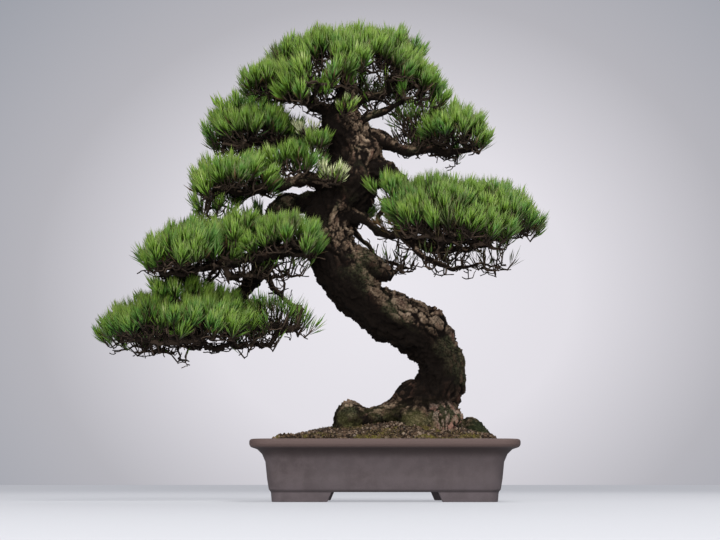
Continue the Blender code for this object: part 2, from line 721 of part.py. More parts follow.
def twig_room(number, root, out, knee, hub, shoots, crowd):
    """The least room that a spray's twigs would have, against others, the bark and each other."""
    room = crowd.gap(root, knee, TWIG_RADIUS[0], [number])
    room = min(room, crowd.gap(knee, hub, TWIG_RADIUS[0], [number]))
    room = min(room, crowd.bark_gap(knee, hub, TWIG_RADIUS[0]), crowd.outside(hub) - HUB_RADIUS)
    room = min(room, TWIG_CLEAR + 10 * (crowd.seat_gap(root, out, STEM_FOOT) - SEAT_LEAST))
    ways = [unit(knee - hub)]
    height, thickness = CANDLE_STEPS[0]
    for place, axis in shoots:
        room = min(room, crowd.gap(hub, place, TWIG_RADIUS[1], [number]))
        room = min(room, crowd.bark_gap(hub, place, TWIG_RADIUS[1]))
        room = min(room, crowd.bark_gap(place, place + axis * height, thickness))
        way = unit(place - hub)
        narrowest = max(float(way @ other) for other in ways)
        if narrowest > math.cos(TWIG_ANGLE):
            room = min(room, 0.2 - narrowest)
        ways.append(way)
    return room


def plan_spray(pad, group, number, crowd, draw):
    """Chooses a spray's twigs so that they keep clear of everything placed before."""
    best = (-1e9, None)
    for attempt in range(SPRAY_TRIES):
        shoots = shoots_of(pad, group, 0.12 * attempt, draw)
        centre = sum(place for place, _ in shoots) / len(shoots)
        side = 8 + 0.15 * attempt
        sway = np.array([draw.uniform(-side, side), draw.uniform(-side, side), draw.uniform(-6, 10)])
        hub = centre - (0, 0, HUB_BELOW_SHOOTS) + sway
        ask = hub + (draw.uniform(-14, 14), draw.uniform(-14, 14), draw.uniform(-14, 2))
        seat, normal, _, _ = crowd.surface.find_nearest(at(*ask))
        out = np.array(normal)
        root = millimetres(seat) + out * SEAT_GAP
        knee = root + out * STEM_RISE
        if np.linalg.norm(hub - knee) < STEM_RISE:
            continue
        room = twig_room(number, root, out, knee, hub, shoots, crowd)
        if room > best[0]:
            best = (room, (root, knee, hub, shoots, out))
        if room > TWIG_CLEAR:
            break
    return best


def nearest_face(form, way, taken):
    """The face of a hub that looks most nearly this way and isn't used yet."""
    free = [face for face in form.faces if face.index not in taken]
    face = max(free, key=lambda face: face.normal.dot(Vector(way)))
    taken.add(face.index)
    return face


def make_spray(name, plan, number, crowd, draw, parts, green):
    """One spray: a slim stem from the limb, a fork, and a twig to each shoot with its needles."""
    root, knee, hub, shoots, out = plan
    form = bmesh.new()
    turned = Vector(unit(hub - knee)).to_track_quat("Z", "Y").to_matrix().to_4x4()
    bmesh.ops.create_icosphere(form, subdivisions=1, radius=HUB_RADIUS * MM,
                               matrix=Matrix.Translation(at(*hub)) @ turned)
    form.normal_update()
    form.faces.index_update()
    taken = set()
    stem = nearest_face(form, knee - hub, taken)
    twigs = [nearest_face(form, place - hub, taken) for place, _ in shoots]
    back = unit(knee - hub)
    stem, _ = draw_out(form, stem, knee, unit(back - out), TWIG_RADIUS[0])
    draw_out(form, stem, root, -out, STEM_FOOT)
    for k, (twig, (place, axis)) in enumerate(zip(twigs, shoots)):
        end, _ = draw_out(form, twig, place, unit(unit(place - hub) + axis), TWIG_RADIUS[1])
        faces = candle(form, end, place, axis)
        raise_needles(form, faces, place, axis, shoot_number(number, k), crowd, draw)
    bmesh.ops.triangulate(form, faces=form.faces)
    bmesh.ops.recalc_face_normals(form, faces=form.faces)
    mesh = bpy.data.meshes.new(name)
    form.to_mesh(mesh)
    form.free()
    object_from(name, mesh, parts, green)


def make_sprays(parts, trunk):
    surface = BVHTree.FromObject(trunk, bpy.context.evaluated_depsgraph_get())
    crowd = Crowd(surface)
    draw = random.Random(SEED)
    plans = []
    for pad in PADS:
        for k, group in enumerate(shoot_groups(pad)):
            number = len(plans)
            room, plan = plan_spray(pad, group, number, crowd, draw)
            if room < TWIG_LEAST:
                raise RuntimeError(f"spray {pad[0]}_{k + 1} has {room:.2f} mm of room")
            root, knee, hub, shoots, out = plan
            crowd.add(root, knee, TWIG_RADIUS[0], number)
            crowd.add(knee, hub, TWIG_RADIUS[0], number)
            crowd.add(hub, hub + out, HUB_RADIUS, number)
            for shoot, (place, axis) in enumerate(shoots):
                crowd.add(hub, place, TWIG_RADIUS[1], shoot_number(number, shoot))
                tip = place + axis * CANDLE_STEPS[-1][0]
                crowd.add(place, tip, CANDLE_STEPS[0][1], shoot_number(number, shoot))
            plans.append((f"spray_{pad[0]}_{k + 1}", plan, number))
    green = material("needles")
    for name, plan, number in plans:
        make_spray(name, plan, number, crowd, draw, parts, green)


def main():
    clear_scene()
    parts = new_collection("Black pine bonsai")
    cutters = new_collection("Cutters")
    make_pot(parts, cutters)
    trunk = make_trunk(parts)
    make_soil(parts, cutters)
    make_sprays(parts, trunk)


main()
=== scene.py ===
"""The looks of a Japanese black pine bonsai in its pot: bark, limbs, twigs, needles, moss, soil and clay.

Lengths are in millimetres from the middle of the pot's foot line (x to the right, y to the back,
z up). placed() turns them into metres in the frame's own place.
"""

import math
from collections import namedtuple

import bmesh
import bpy
import numpy as np
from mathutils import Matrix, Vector


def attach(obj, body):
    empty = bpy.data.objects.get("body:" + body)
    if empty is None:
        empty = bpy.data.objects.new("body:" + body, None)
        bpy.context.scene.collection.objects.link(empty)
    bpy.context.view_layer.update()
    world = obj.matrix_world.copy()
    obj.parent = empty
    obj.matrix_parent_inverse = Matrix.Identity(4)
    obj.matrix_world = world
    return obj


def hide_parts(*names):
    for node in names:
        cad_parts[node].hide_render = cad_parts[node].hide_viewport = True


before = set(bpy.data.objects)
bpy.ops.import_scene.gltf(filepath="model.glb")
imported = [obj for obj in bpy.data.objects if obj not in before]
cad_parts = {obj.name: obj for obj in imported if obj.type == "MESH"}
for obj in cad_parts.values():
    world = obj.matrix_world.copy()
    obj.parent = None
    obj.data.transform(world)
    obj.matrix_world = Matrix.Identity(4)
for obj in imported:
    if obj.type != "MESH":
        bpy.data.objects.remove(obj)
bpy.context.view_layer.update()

MM = 0.001
POT_MIDDLE = np.array((127.0, -21.0, 0.0))
UP = np.array((0.0, 0.0, 1.0))

# Camera and light
CAMERA_PLACE = (-42.0, -2400.0, 30.0)
CAMERA_TILT = math.radians(99.12)
CAMERA_LENS = 66.65
CAMERA_SENSOR = 36.0
BRIGHT_WAY = (0.02, 0.9895, 0.143)  # from the camera to the backdrop's bright middle
LIGHTS = [  # name, place, width, power in watts
    ("key", (900, -1300, 2500), 1300, 66),
    ("front", (-200, -2900, 700), 1800, 74),
    ("fill", (-1700, -1700, 1300), 1600, 20),
    ("back", (300, 1800, 2200), 1500, 26),
]
LIGHT_AIM = (0, 0, 480)
FLOOR_RADIUS = 40000.0

# Pot
RIM_HALF_LENGTH = 229.0
RIM_HALF_DEPTH = 166.0
RIM_CORNER = 34.0
CORNER_SHRINK = 0.4
RIM_TOP = 105.0
FLOOR_TOP = 27.0
FOOT_HEIGHT = 16.5
FOOT_WALL = 15.0
FOOT_GAP_HALF = (90.0, 97.0)
SIDE_GAP_HALF = (52.0, 58.0)
CUT_DROP = 3.0
DRAIN_HOLES = ((-95.0, 0.0, 15.0), (95.0, 0.0, 15.0))
POT_OUTSIDE = [  # inset from the rim's edge, height
    (37.5, 0.0), (36.0, FOOT_HEIGHT), (32.5, 21.0), (29.5, 39.0), (26.5, 67.0), (21.0, 80.0),
    (13.0, 88.0), (2.5, 91.5), (0.0, 95.5), (0.0, 102.0), (2.5, RIM_TOP)]
POT_INSIDE = [(23.0, RIM_TOP), (26.0, 101.5), (37.0, 60.0), (41.0, FLOOR_TOP)]

# Soil
SOIL_EDGE_HEIGHT = 97.0
MOUND_CENTRE = (40.0, 5.0)
MOUND_HALF = (215.0, 150.0)
MOUND_RISE = 33.0
SOIL_SHOULDER = 15.0
SOIL_GAP = 0.35
SOIL_RINGS = 60
MOUTH_REACH = 0.97
MOUTH_CORNER = 20.0
GRAINS = 3900
GRAIN_SEED = 51
MOSS_LEAVES = 17000
MOSS_SEED = 52

# Trunk, roots and limbs: x, y, z, radius
TRUNK = [
    (84, 10, 66, 50), (82, 10, 105, 50), (79, 8, 140, 44), (85, 4, 172, 45), (98, 0, 204, 42),
    (104, -4, 232, 41), (96, -8, 261, 42), (74, -12, 290, 44), (44, -15, 311, 43), (9, -17, 329, 43),
    (-20, -17, 347, 39), (-46, -15, 369, 43), (-67, -12, 398, 45), (-82, -8, 429, 46), (-94, -4, 461, 43),
    (-96, 0, 493, 40), (-86, 3, 528, 47), (-68, 5, 562, 52), (-57, 5, 596, 52), (-55, 3, 629, 50),
    (-62, 0, 659, 43), (-75, -3, 685, 41), (-74, -6, 709, 31), (-68, -10, 739, 20), (-62, -14, 770, 13),
    (-66, -16, 804, 8), (-70, -16, 828, 5)]
BURL = [(-60, -8, 424, 38), (-30, -14, 414, 30), (-6, -18, 408, 20), (6, -20, 402, 13), (11, -20, 395, 9)]
SHOULDER = [(-50, 0, 600, 40), (-22, -4, 598, 32), (8, -6, 590, 23), (30, -8, 578, 17), (44, -8, 564, 11)]
ROOTS = {
    "left": [(68, -5, 182, 38), (36, -14, 164, 27), (4, -20, 153, 19), (-24, -28, 144, 18),
             (-58, -32, 142, 26), (-70, -34, 114, 24), (-76, -36, 90, 20)],
    "front": [(98, -8, 160, 34), (102, -40, 142, 35), (104, -66, 126, 34), (100, -90, 98, 20)],
    "front_left": [(70, -5, 160, 30), (58, -36, 138, 30), (52, -60, 118, 26), (44, -84, 96, 14)],
    "right": [(94, 0, 140, 26), (134, -10, 122, 22), (156, -22, 120, 24), (176, -30, 104, 18),
              (184, -34, 88, 9)],
    "back": [(95, 20, 150, 34), (104, 52, 128, 28), (110, 86, 106, 18), (114, 104, 92, 10)],
    "back_left": [(78, 16, 150, 32), (44, 46, 126, 24), (14, 70, 106, 15), (-8, 84, 92, 8)],
    "thin_left": [(58, -46, 128, 12), (30, -58, 126, 8), (4, -64, 122, 7), (-16, -66, 112, 5)],
}
KNOBS = [  # old cuts and burls: place, width, how far they stand out
    ((0, -58, 366), 26, 9), ((-26, -52, 424), 24, 8), ((-50, -48, 572), 28, 12),
    ((-16, -30, 640), 26, 12), ((-132, -14, 520), 26, 13), ((100, -14, 334), 26, 15),
    ((34, -12, 192), 24, 8), ((-62, -36, 158), 26, 9), ((108, -78, 140), 22, 9), ((124, -66, 120), 20, 7),
    ((8, -22, 402), 13, 5), ((-16, -38, 428), 15, 7), ((-2, -34, 400), 13, 6), ((10, -22, 604), 13, 5),
    ((-12, -22, 622), 15, 6), ((120, -20, 300), 20, 6), ((66, -30, 330), 20, 7)]
LIMBS = {
    "low": [(-84, 6, 512, 30), (-118, 22, 541, 25), (-154, 36, 548, 23), (-184, 44, 538, 22),
            (-205, 44, 506, 20), (-207, 36, 467, 19), (-215, 24, 430, 17), (-236, 12, 402, 14),
            (-268, 6, 362, 12), (-312, 2, 326, 10), (-364, 0, 308, 8), (-425, -4, 304, 6),
            (-466, -10, 308, 3.5)],
    "left_3": [(-95, -10, 480, 22), (-124, -34, 468, 17), (-154, -62, 450, 13), (-190, -78, 434, 11),
               (-238, -84, 422, 9.5), (-298, -80, 412, 8), (-352, -74, 406, 6), (-390, -70, 406, 4)],
    "left_2": [(-84, -6, 582, 20), (-118, -28, 576, 15), (-152, -52, 568, 12), (-198, -70, 556, 10),
               (-240, -76, 545, 8), (-284, -76, 542, 5.5), (-318, -74, 546, 3.5)],
    "up_left": [(-68, 4, 652, 22), (-98, 12, 672, 16), (-132, 24, 680, 12), (-176, 32, 667, 9),
                (-230, 32, 660, 7), (-280, 30, 660, 5), (-312, 28, 668, 3.5)],
    "crown_left": [(-70, -4, 686, 22), (-100, -14, 708, 15), (-130, -20, 722, 12), (-160, -24, 734, 9),
                   (-190, -24, 743, 7), (-226, -20, 756, 5), (-248, -16, 770, 3.5)],
    "crown_right": [(-70, -6, 712, 15), (-34, -10, 736, 10), (8, -10, 750, 8), (52, -6, 760, 6),
                    (92, 0, 766, 4), (108, 2, 772, 3)],
    "crown_right_low": [(-62, -8, 682, 15), (-36, -20, 691, 9), (2, -24, 707, 7), (32, -28, 722, 6),
                        (60, -20, 738, 3.5)],
    "crown_front": [(-66, -12, 742, 10), (-74, -46, 764, 7), (-84, -82, 782, 5), (-88, -104, 792, 3.5)],
    "crown_back": [(-66, -6, 736, 11), (-58, 34, 758, 8), (-50, 74, 778, 5.5), (-46, 104, 790, 3.5)],
    "up_right": [(-44, 0, 666, 20), (-12, -4, 665, 15), (14, -8, 648, 12), (44, -8, 636, 10),
                 (94, -2, 642, 8.5), (126, 4, 636, 7), (160, 6, 644, 5), (182, 6, 656, 3.5)],
    "right_mid": [(-70, -10, 520, 20), (-36, -42, 500, 10), (-8, -62, 478, 8.5), (16, -74, 468, 9),
                  (38, -80, 468, 9), (64, -82, 450, 8.5), (98, -80, 436, 7.5), (138, -76, 440, 6.5),
                  (184, -72, 452, 5), (222, -66, 470, 3.5)],
    "right_low": [(42, -78, 469, 7.5), (52, -88, 446, 6.5), (70, -92, 422, 5.5), (102, -92, 408, 5),
                  (140, -88, 404, 4), (176, -80, 412, 3.2)],
    "right_back": [(-64, 4, 500, 12), (-38, 30, 474, 5), (-12, 44, 450, 4.5), (10, 46, 438, 4.5),
                   (36, 44, 430, 4), (62, 40, 424, 3)],
    "back": [(-78, 14, 545, 24), (-74, 56, 548, 15), (-78, 100, 542, 11), (-84, 146, 540, 8),
             (-86, 186, 546, 5), (-88, 214, 552, 3.5)],
    "back_high": [(-58, 8, 640, 20), (-50, 46, 652, 13), (-56, 84, 656, 9), (-64, 120, 662, 6),
                  (-70, 142, 668, 3.5)],
    "low_right": [(-216, 22, 424, 9), (-208, -6, 398, 7), (-190, -24, 372, 6), (-168, -30, 352, 5),
                  (-148, -32, 342, 3.5)],
    "left_2_back": [(-168, 40, 546, 10), (-188, 72, 532, 7), (-208, 98, 518, 5), (-222, 112, 514, 3.5)],
}

# Bark: widest features of its noise and plates, across and along the wood
WARP = (22, 22, 30)
RAGGED = (7, 7, 9)
GROOVE = (34, 34, 150)
PLATE = (15, 15, 40)
FLAKE = (5.5, 5.5, 11)
LAYER = (13, 13, 26)
FINE = (4, 4, 6)
# patches of weathering, which also break up the painted light on the side facing the key lamp
WEATHER_AND_LIGHT = (30, 30, 60)
LOBE_LUMP = (11, 11, 11)
FOOT_LUMP = (20, 20, 15)

# Foliage pads: centre (x, y, z), half lengths (x, y), drop to the edge, slope along x, shoots, how full
# each shoot is, how light its green is painted (its own tone, with painted light on the low pads that lie in
# shade and painted shade on inner and under pads), how much the shoots' heights differ, and how low its
# twigs reach
Pad = namedtuple("Pad", "centre half drop slope shoots fullness lightness differ low")
PADS = {
    "low_outer": ((-424, -4, 348), (70, 104), 40, 0.12, 84, 1.0, 0.10, 6, 284),
    "low_inner": ((-304, 0, 362), (76, 112), 48, 0.02, 92, 1.0, 0.10, 6, 274),
    "low_right": ((-196, -28, 352), (54, 50), 26, -0.04, 36, 0.32, -0.08, 8, 304),
    "left_3": ((-336, -74, 475), (72, 82), 46, 0.18, 80, 1.0, 0.02, 6, 394),
    "left_3_right": ((-182, -80, 484), (68, 62), 38, 0.05, 52, 1.0, 0.0, 7, 430),
    "left_2": ((-264, -70, 594), (66, 70), 32, 0.16, 62, 1.0, 0.0, 8, 546),
    "left_2_right": ((-124, -62, 650), (18, 20), 8, 0.2, 8, 0.9, -0.04, 4, 612),
    "left_2_low": ((-306, -62, 536), (20, 26), 8, 0.1, 6, 0.8, 0.0, 5, 516),
    "up_left": ((-238, 26, 710), (82, 98), 36, 0.02, 90, 1.0, 0.0, 6, 644),
    "crown_top": ((-62, -2, 853), (142, 112), 80, 0.0, 222, 1.0, 0.0, 5, 764),
    "crown_left": ((-210, -18, 784), (42, 62), 28, 0.2, 30, 1.0, 0.0, 6, 738),
    "crown_right": ((72, 0, 780), (34, 62), 28, -0.3, 28, 1.0, 0.0, 6, 738),
    "crown_front": ((-106, -108, 770), (60, 30), 16, 0.0, 18, 0.9, 0.05, 6, 738),
    "up_right": ((132, 2, 704), (54, 62), 36, -0.05, 52, 1.0, 0.0, 6, 640),
    "right_mid": ((102, -76, 552), (86, 96), 44, -0.02, 100, 1.0, -0.05, 4, 462),
    "right_mid_outer": ((204, -66, 544), (60, 76), 46, -0.22, 66, 1.0, -0.05, 4, 474),
    "right_low": ((190, -74, 444), (32, 30), 10, 0.0, 9, 0.14, -0.25, 8, 418),
    "right_back": ((24, 44, 456), (44, 30), 10, 0.0, 18, 0.08, -0.25, 16, 425),
    "back": ((-84, 168, 588), (52, 60), 28, 0.0, 34, 1.0, 0.0, 6, 545),
    "back_high": ((-66, 122, 706), (46, 46), 22, 0.0, 22, 0.9, 0.0, 6, 660),
    "left_2_back": ((-222, 92, 538), (34, 34), 12, 0.0, 12, 0.6, 0.0, 8, 514),
    "up_left_peak": ((-256, 0, 732), (30, 36), 12, 0.0, 12, 1.0, 0.0, 6, 690),
    "left_3_middle": ((-258, -72, 488), (36, 60), 16, 0.0, 24, 1.0, 0.0, 6, 440),
    "under_left_3_middle": ((-246, -60, 428), (46, 30), 8, 0.0, 24, 0.06, -0.25, 10, 398),
    "under_right_middle": ((110, -76, 492), (84, 60), 10, 0.0, 34, 0.16, -0.46, 10, 464),
    "crown_face": ((-133, -92, 744), (42, 20), 10, 0.0, 15, 0.9, 0.08, 5, 712),
    "crown_bright": ((-74, -84, 716), (9, 7), 4, 0.0, 4, 0.8, 0.22, 2, 696),
    "crown_face_right": ((40, -70, 756), (40, 24), 10, 0.0, 8, 0.5, -0.05, 10, 724),
    "light_spray": ((-92, -84, 590), (17, 10), 5, 0.0, 7, 0.6, 0.5, 3, 570),
    "light_tuft": ((-134, -30, 680), (14, 10), 4, 0.0, 5, 0.5, 0.5, 3, 662),
    "beside_up_right": ((60, 0, 690), (40, 26), 8, 0.0, 40, 0.03, -0.2, 15, 648),
    "under_left_3": ((-172, -40, 434), (32, 26), 6, 0.0, 14, 0.08, -0.1, 14, 410),
    "hanging_loop": ((-362, 0, 284), (14, 8), 4, 0.0, 3, 0.04, -0.1, 5, 254),
    "under_right": ((104, -80, 454), (44, 16), 8, 0.0, 22, 0.08, -0.3, 12, 428),
    "under_crown_left": ((-196, -20, 768), (56, 30), 10, 0.0, 22, 0.10, 0.0, 12, 735),
    "under_crown_right": ((10, -30, 764), (56, 34), 10, 0.0, 22, 0.10, 0.0, 16, 735),
    "low_middle": ((-366, 0, 388), (46, 80), 16, 0.0, 26, 1.0, 0.10, 4, 276),
    "low_front": ((-360, -96, 330), (100, 26), 16, -0.04, 44, 1.0, 0.08, 6, 278),
    "left_3_front": ((-352, -142, 446), (54, 22), 14, 0.3, 22, 1.0, 0.0, 6, 404),
    "crown_shoulder_left": ((-166, -6, 838), (34, 56), 16, 0.25, 20, 1.0, 0.0, 5, 790),
    "crown_shoulder_right": ((20, -6, 848), (40, 56), 18, -0.15, 22, 1.0, 0.0, 5, 800),
    "right_front": ((118, -148, 492), (98, 26), 14, -0.2, 52, 1.0, -0.06, 6, 452),
    "under_low_right": ((-222, -20, 310), (36, 40), 6, 0.0, 16, 0.05, -0.1, 6, 278),
    "left_2_middle": ((-162, -68, 620), (40, 44), 14, 0.0, 20, 0.9, -0.04, 6, 575),
    "old_right": ((34, -100, 496), (30, 16), 5, 0.0, 9, 0.5, -0.52, 5, 462),
    "old_right_outer": ((113, -112, 482), (34, 12), 5, 0.0, 8, 0.45, -0.52, 5, 456),
    "under_low": ((-404, 0, 298), (48, 60), 6, 0.0, 16, 0.05, -0.1, 5, 275),
    "right_mid_left": ((22, -60, 568), (30, 30), 8, 0.0, 14, 1.0, -0.05, 4, 520),
    "between_right": ((62, 0, 718), (32, 30), 8, 0.0, 20, 0.3, -0.12, 8, 672),
    "crown_inside": ((-50, 50, 792), (96, 26), 14, 0.0, 34, 0.2, -0.2, 10, 716),
}
WINDOWS = [  # clear ways through the crown, from the front: x and z at its face, and half width
    (-118, 764, 15), (-102, 778, 10), (-88, 726, 11), (-18, 776, 15), (-12, 740, 15), (14, 757, 11),
    (54, 722, 14), (-158, 704, 9), (-30, 752, 9)]
WINDOW_FACE = -80.0
BEHIND_WINDOWS = 40.0  # pads centred further back keep all their shoots
PAD_EDGE = 1.15  # how far out a pad's top goes on dropping, in half lengths
PAD_CURVE = 2.4
SMALL_PAD = 22  # narrower pads have shorter needles
NEEDLES_PER_SHOOT = 62
NEEDLE_LENGTH = (26.0, 36.0)
NEEDLE_WIDTH = 1.9
SHOOT_LENGTH = 24.0
SHOOT_LEAN = 0.66
SHOOT_REACH = 34.0  # from a shoot's start to where its needles end
BASE_DEPTH = 27.0  # how far under the pad's top its shoots start
FIRST_PAD_SEED = 100
LIMB_STEP = 8.0
TWIG_STEP = 6
STUB_STEP = 5.0
STUBS_PER_SHOOT = 3
BARE_TWIGS = 260
BARE_TWIG_SEED = 77

# Map for the paint: columns of tint, and the part of the map that they fill
TINT_BINS = 64
MAP_EDGE = 0.02
MAP_SPAN = 0.96
MAP_JOG = 0.3 * MAP_SPAN / TINT_BINS


# Shader maths


class Wire:
    """A shader socket that can be added, multiplied and so on, each giving the Math node's own socket."""

    def __init__(self, tree, socket):
        self.tree = tree
        self.socket = socket

    def maths(self, operation, first, second):
        return self.tree.node("ShaderNodeMath", {"operation": operation}, {0: first, 1: second})

    def __add__(self, other):
        return self.maths("ADD", self, other)

    __radd__ = __add__

    def __sub__(self, other):
        return self.maths("SUBTRACT", self, other)

    def __rsub__(self, other):
        return self.maths("SUBTRACT", other, self)

    def __mul__(self, other):
        return self.maths("MULTIPLY", self, other)

    __rmul__ = __mul__

    def clipped(self):
        """Kept between 0 and 1."""
        return self.tree.node("ShaderNodeClamp", {}, {"Value": self})

    def between(self, low, high):
        """0 at low and 1 at high, in a straight line."""
        return self.tree.node("ShaderNodeMapRange", {}, {"Value": self, "From Min": low, "From Max": high})

    def larger(self, other):
        """The larger of two values."""
        return self.maths("MAXIMUM", self, other)

    def step(self, low, high):
        """0 under low, 1 over high and smooth between them."""
        return self.tree.node("ShaderNodeMapRange", {"interpolation_type": "SMOOTHSTEP"},
                              {"Value": self, "From Min": low, "From Max": high})


class Nodes:
    """The nodes of one shader tree."""

    def __init__(self, tree):
        self.nodes = tree.nodes
        self.links = tree.links

    def feed(self, target, value):
        """Gives a socket a wire, a colour or a number."""
        if isinstance(value, Wire):
            self.links.new(value.socket, target)
        elif isinstance(value, tuple) and target.type == "RGBA":
            target.default_value = (*value[:3], 1.0)
        else:
            target.default_value = value

    def node(self, kind, settings=None, inputs=None, output=0):
        """Any node: its settings first, then the values or wires of its sockets; gives one output."""
        made = self.nodes.new(kind)
        for name, value in (settings or {}).items():
            if name == "stops":
                ramp = made.color_ramp.elements
                while len(ramp) < len(value):
                    ramp.new(1.0)
                for stop, (place, colour) in zip(ramp, value):
                    stop.position = place
                    stop.color = (*colour, 1.0)
            else:
                setattr(made, name, value)
        for name, value in (inputs or {}).items():
            self.feed(made.inputs[name], value)
        return Wire(self, made.outputs[output])

    def mix(self, share, first, second):
        """A colour between two colours, which the Mix node takes at its sockets 6 and 7."""
        return self.node("ShaderNodeMix", {"data_type": "RGBA"}, {0: share, 6: first, 7: second}, 2)

    def ramp(self, factor, stops):
        return self.node("ShaderNodeValToRGB", {"stops": stops}, {"Fac": factor})

    def place(self):
        """Places on the piece, in metres."""
        return self.node("ShaderNodeTexCoord", output="Object")

    def height(self):
        """Height on the piece, in metres."""
        return self.node("ShaderNodeSeparateXYZ", {}, {"Vector": self.place()}, "Z")

    def on_map(self, axis):
        """The map of needles, twigs, moss and crumbs: X gives the tint and Y the place along."""
        drawn = self.node("ShaderNodeUVMap", {"uv_map": "OFBake"})
        return self.node("ShaderNodeSeparateXYZ", {}, {"Vector": drawn}, axis)

    def noise(self, scale, detail, roughness, stretch=None):
        where = self.place()
        if stretch:
            where = self.node("ShaderNodeMapping", {}, {"Vector": where, "Scale": stretch})
        return self.node("ShaderNodeTexNoise", {}, {"Vector": where, "Scale": scale, "Detail": detail,
                                                    "Roughness": roughness})

    def cells(self, scale, feature="F1", output="Distance"):
        return self.node("ShaderNodeTexVoronoi", {"feature": feature},
                         {"Vector": self.place(), "Scale": scale}, output)

    def vectors(self, operation, output, *inputs):
        """Vector maths on one or two vectors."""
        return self.node("ShaderNodeVectorMath", {"operation": operation}, dict(enumerate(inputs)), output)

    def apart(self, spot):
        """Distance from a spot, in metres."""
        return self.vectors("DISTANCE", "Value", self.place(), spot)

    def attribute(self, name):
        return self.node("ShaderNodeAttribute", {"attribute_name": name}, {}, "Fac")


class Finish(Nodes):
    """One material."""

    def __init__(self, name, **constants):
        self.material = bpy.data.materials.new(name)
        self.material.use_nodes = True
        super().__init__(self.material.node_tree)
        self.shader = self.nodes["Principled BSDF"]
        for socket, value in constants.items():
            self.set(socket.replace("_", " "), value)

    def set(self, socket, value):
        self.feed(self.shader.inputs[socket], value)

    def bump(self, height, distance, strength):
        self.set("Normal", self.node("ShaderNodeBump", {}, {"Height": height, "Distance": distance,
                                                            "Strength": strength}))


# Repeatable noise on arrays of points


def scramble(cells, seed):
    """A random number from 0 to 1 for each whole-number cell."""
    n = cells.astype(np.int64)
    h = n[..., 0] * 374761393 + n[..., 1] * 668265263 + n[..., 2] * 1440662683 + seed * 974634777
    h = (h ^ (h >> 13)) * 1274126177
    h = (h ^ (h >> 16)) * 668265263
    h ^= h >> 15
    return (h & 0xFFFFFF) / float(0x1000000)


def soft_noise(points, seed):
    """Smooth noise from -1 to 1, with features about one unit wide."""
    base = np.floor(points)
    part = points - base
    part = part * part * (3 - 2 * part)
    total = np.zeros(len(points))
    for corner in np.ndindex(2, 2, 2):
        corner = np.array(corner)
        weight = np.prod(np.where(corner == 1, part, 1 - part), axis=1)
        total += weight * scramble(base + corner, seed)
    return 2 * total - 1


def fractal(points, size, seed, octaves=3):
    """Noise with finer noise on it; size is the widest feature, in millimetres."""
    total = np.zeros(len(points))
    share = 1.0
    for k in range(octaves):
        total += share * soft_noise(points / np.array(size, float) * 2**k, seed + 11 * k)
        share *= 0.5
    return total


def plate_cells(points, size, seed):
    """Cells of random shape: how far each point lies from its cell's border, and the cell's own number."""
    places = points / np.array(size, float)
    base = np.floor(places)
    nearest = np.full(len(points), 1e9)
    second = np.full(len(points), 1e9)
    own = np.zeros(len(points))
    for offset in np.ndindex(3, 3, 3):
        cell = base + np.array(offset) - 1
        middle = cell + np.stack([scramble(cell, seed + k) for k in range(3)], axis=1)
        apart = np.linalg.norm(places - middle, axis=1)
        closer = apart < nearest
        second = np.where(closer, nearest, np.minimum(second, apart))
        own = np.where(closer, scramble(cell, seed + 7), own)
        nearest = np.minimum(nearest, apart)
    return second - nearest, own


def smooth_step(values, low, high):
    share = np.clip((values - low) / (high - low), 0, 1)
    return share * share * (3 - 2 * share)


# Meshes


def placed(points):
    """Millimetres from the pot's middle, as metres in the frame."""
    return (np.asarray(points, float) + POT_MIDDLE) * MM


# Spots where the bark looks different: three for the paint, in metres, and one in millimetres, the painted
# shadow under the trunk's bend
FLAKY_ROOT = tuple(placed((108, -84, 134)))
MOSSY_ROOT = tuple(placed((54, -80, 126)))
DARK_CLUMP = tuple(placed((182, -34, 108)))
SHADED_FOOT = (92, -40, 212)


def millimetres(points):
    """The other way round: from metres in the frame."""
    return np.asarray(points, float) / MM - POT_MIDDLE


def mesh_of(name, points, faces, smooth=True):
    """A mesh from points in millimetres and an array of faces that all have as many corners."""
    mesh = bpy.data.meshes.new(name)
    faces = np.asarray(faces, np.int32)
    count, corners = faces.shape
    mesh.vertices.add(len(points))
    mesh.vertices.foreach_set("co", placed(points).astype(np.float32).ravel())
    mesh.loops.add(count * corners)
    mesh.loops.foreach_set("vertex_index", faces.ravel())
    mesh.polygons.add(count)
    mesh.polygons.foreach_set("loop_start", np.arange(0, count * corners, corners, dtype=np.int32))
    mesh.polygons.foreach_set("use_smooth", np.full(count, smooth))
    mesh.update(calc_edges=True)
    mesh.validate()
    return mesh


def point_values(mesh, name, values):
    attribute = mesh.attributes.new(name, "FLOAT", "POINT")
    attribute.data.foreach_set("value", np.asarray(values, np.float32))


def shown(name, data):
    """A new object in the scene."""
    obj = bpy.data.objects.new(name, data)
    bpy.context.scene.collection.objects.link(obj)
    return obj


def mesh_from(form, name):
    """A mesh of what was built in a form, which is then freed."""
    mesh = bpy.data.meshes.new(name)
    form.to_mesh(mesh)
    form.free()
    return mesh


def piece(name, mesh, finish, slot, *nodes):
    """A finished piece: painted, riding on the part's one body, and in place of the nodes it replaces."""
    obj = shown(name, mesh)
    mesh.materials.clear()
    mesh.materials.append(finish)
    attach(obj, "root")
    if nodes:
        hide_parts(*nodes)


def applied(obj, kind, **settings):
    """Adds a modifier and applies it."""
    modifier = obj.modifiers.new(kind.lower(), kind)
    for name, value in settings.items():
        setattr(modifier, name, value)
    graph = bpy.context.evaluated_depsgraph_get()
    mesh = bpy.data.meshes.new_from_object(obj.evaluated_get(graph), depsgraph=graph)
    old = obj.data
    obj.modifiers.clear()
    obj.data = mesh
    bpy.data.meshes.remove(old)


def vertex_rows(mesh, kind):
    """The place (co) or the normal of every vertex."""
    rows = np.zeros(len(mesh.vertices) * 3, np.float32)
    mesh.vertices.foreach_get(kind, rows)
    return rows.reshape(-1, 3).astype(float)


def unit(vectors):
    return vectors / np.maximum(np.linalg.norm(vectors, axis=-1, keepdims=True), 1e-9)


# Routes


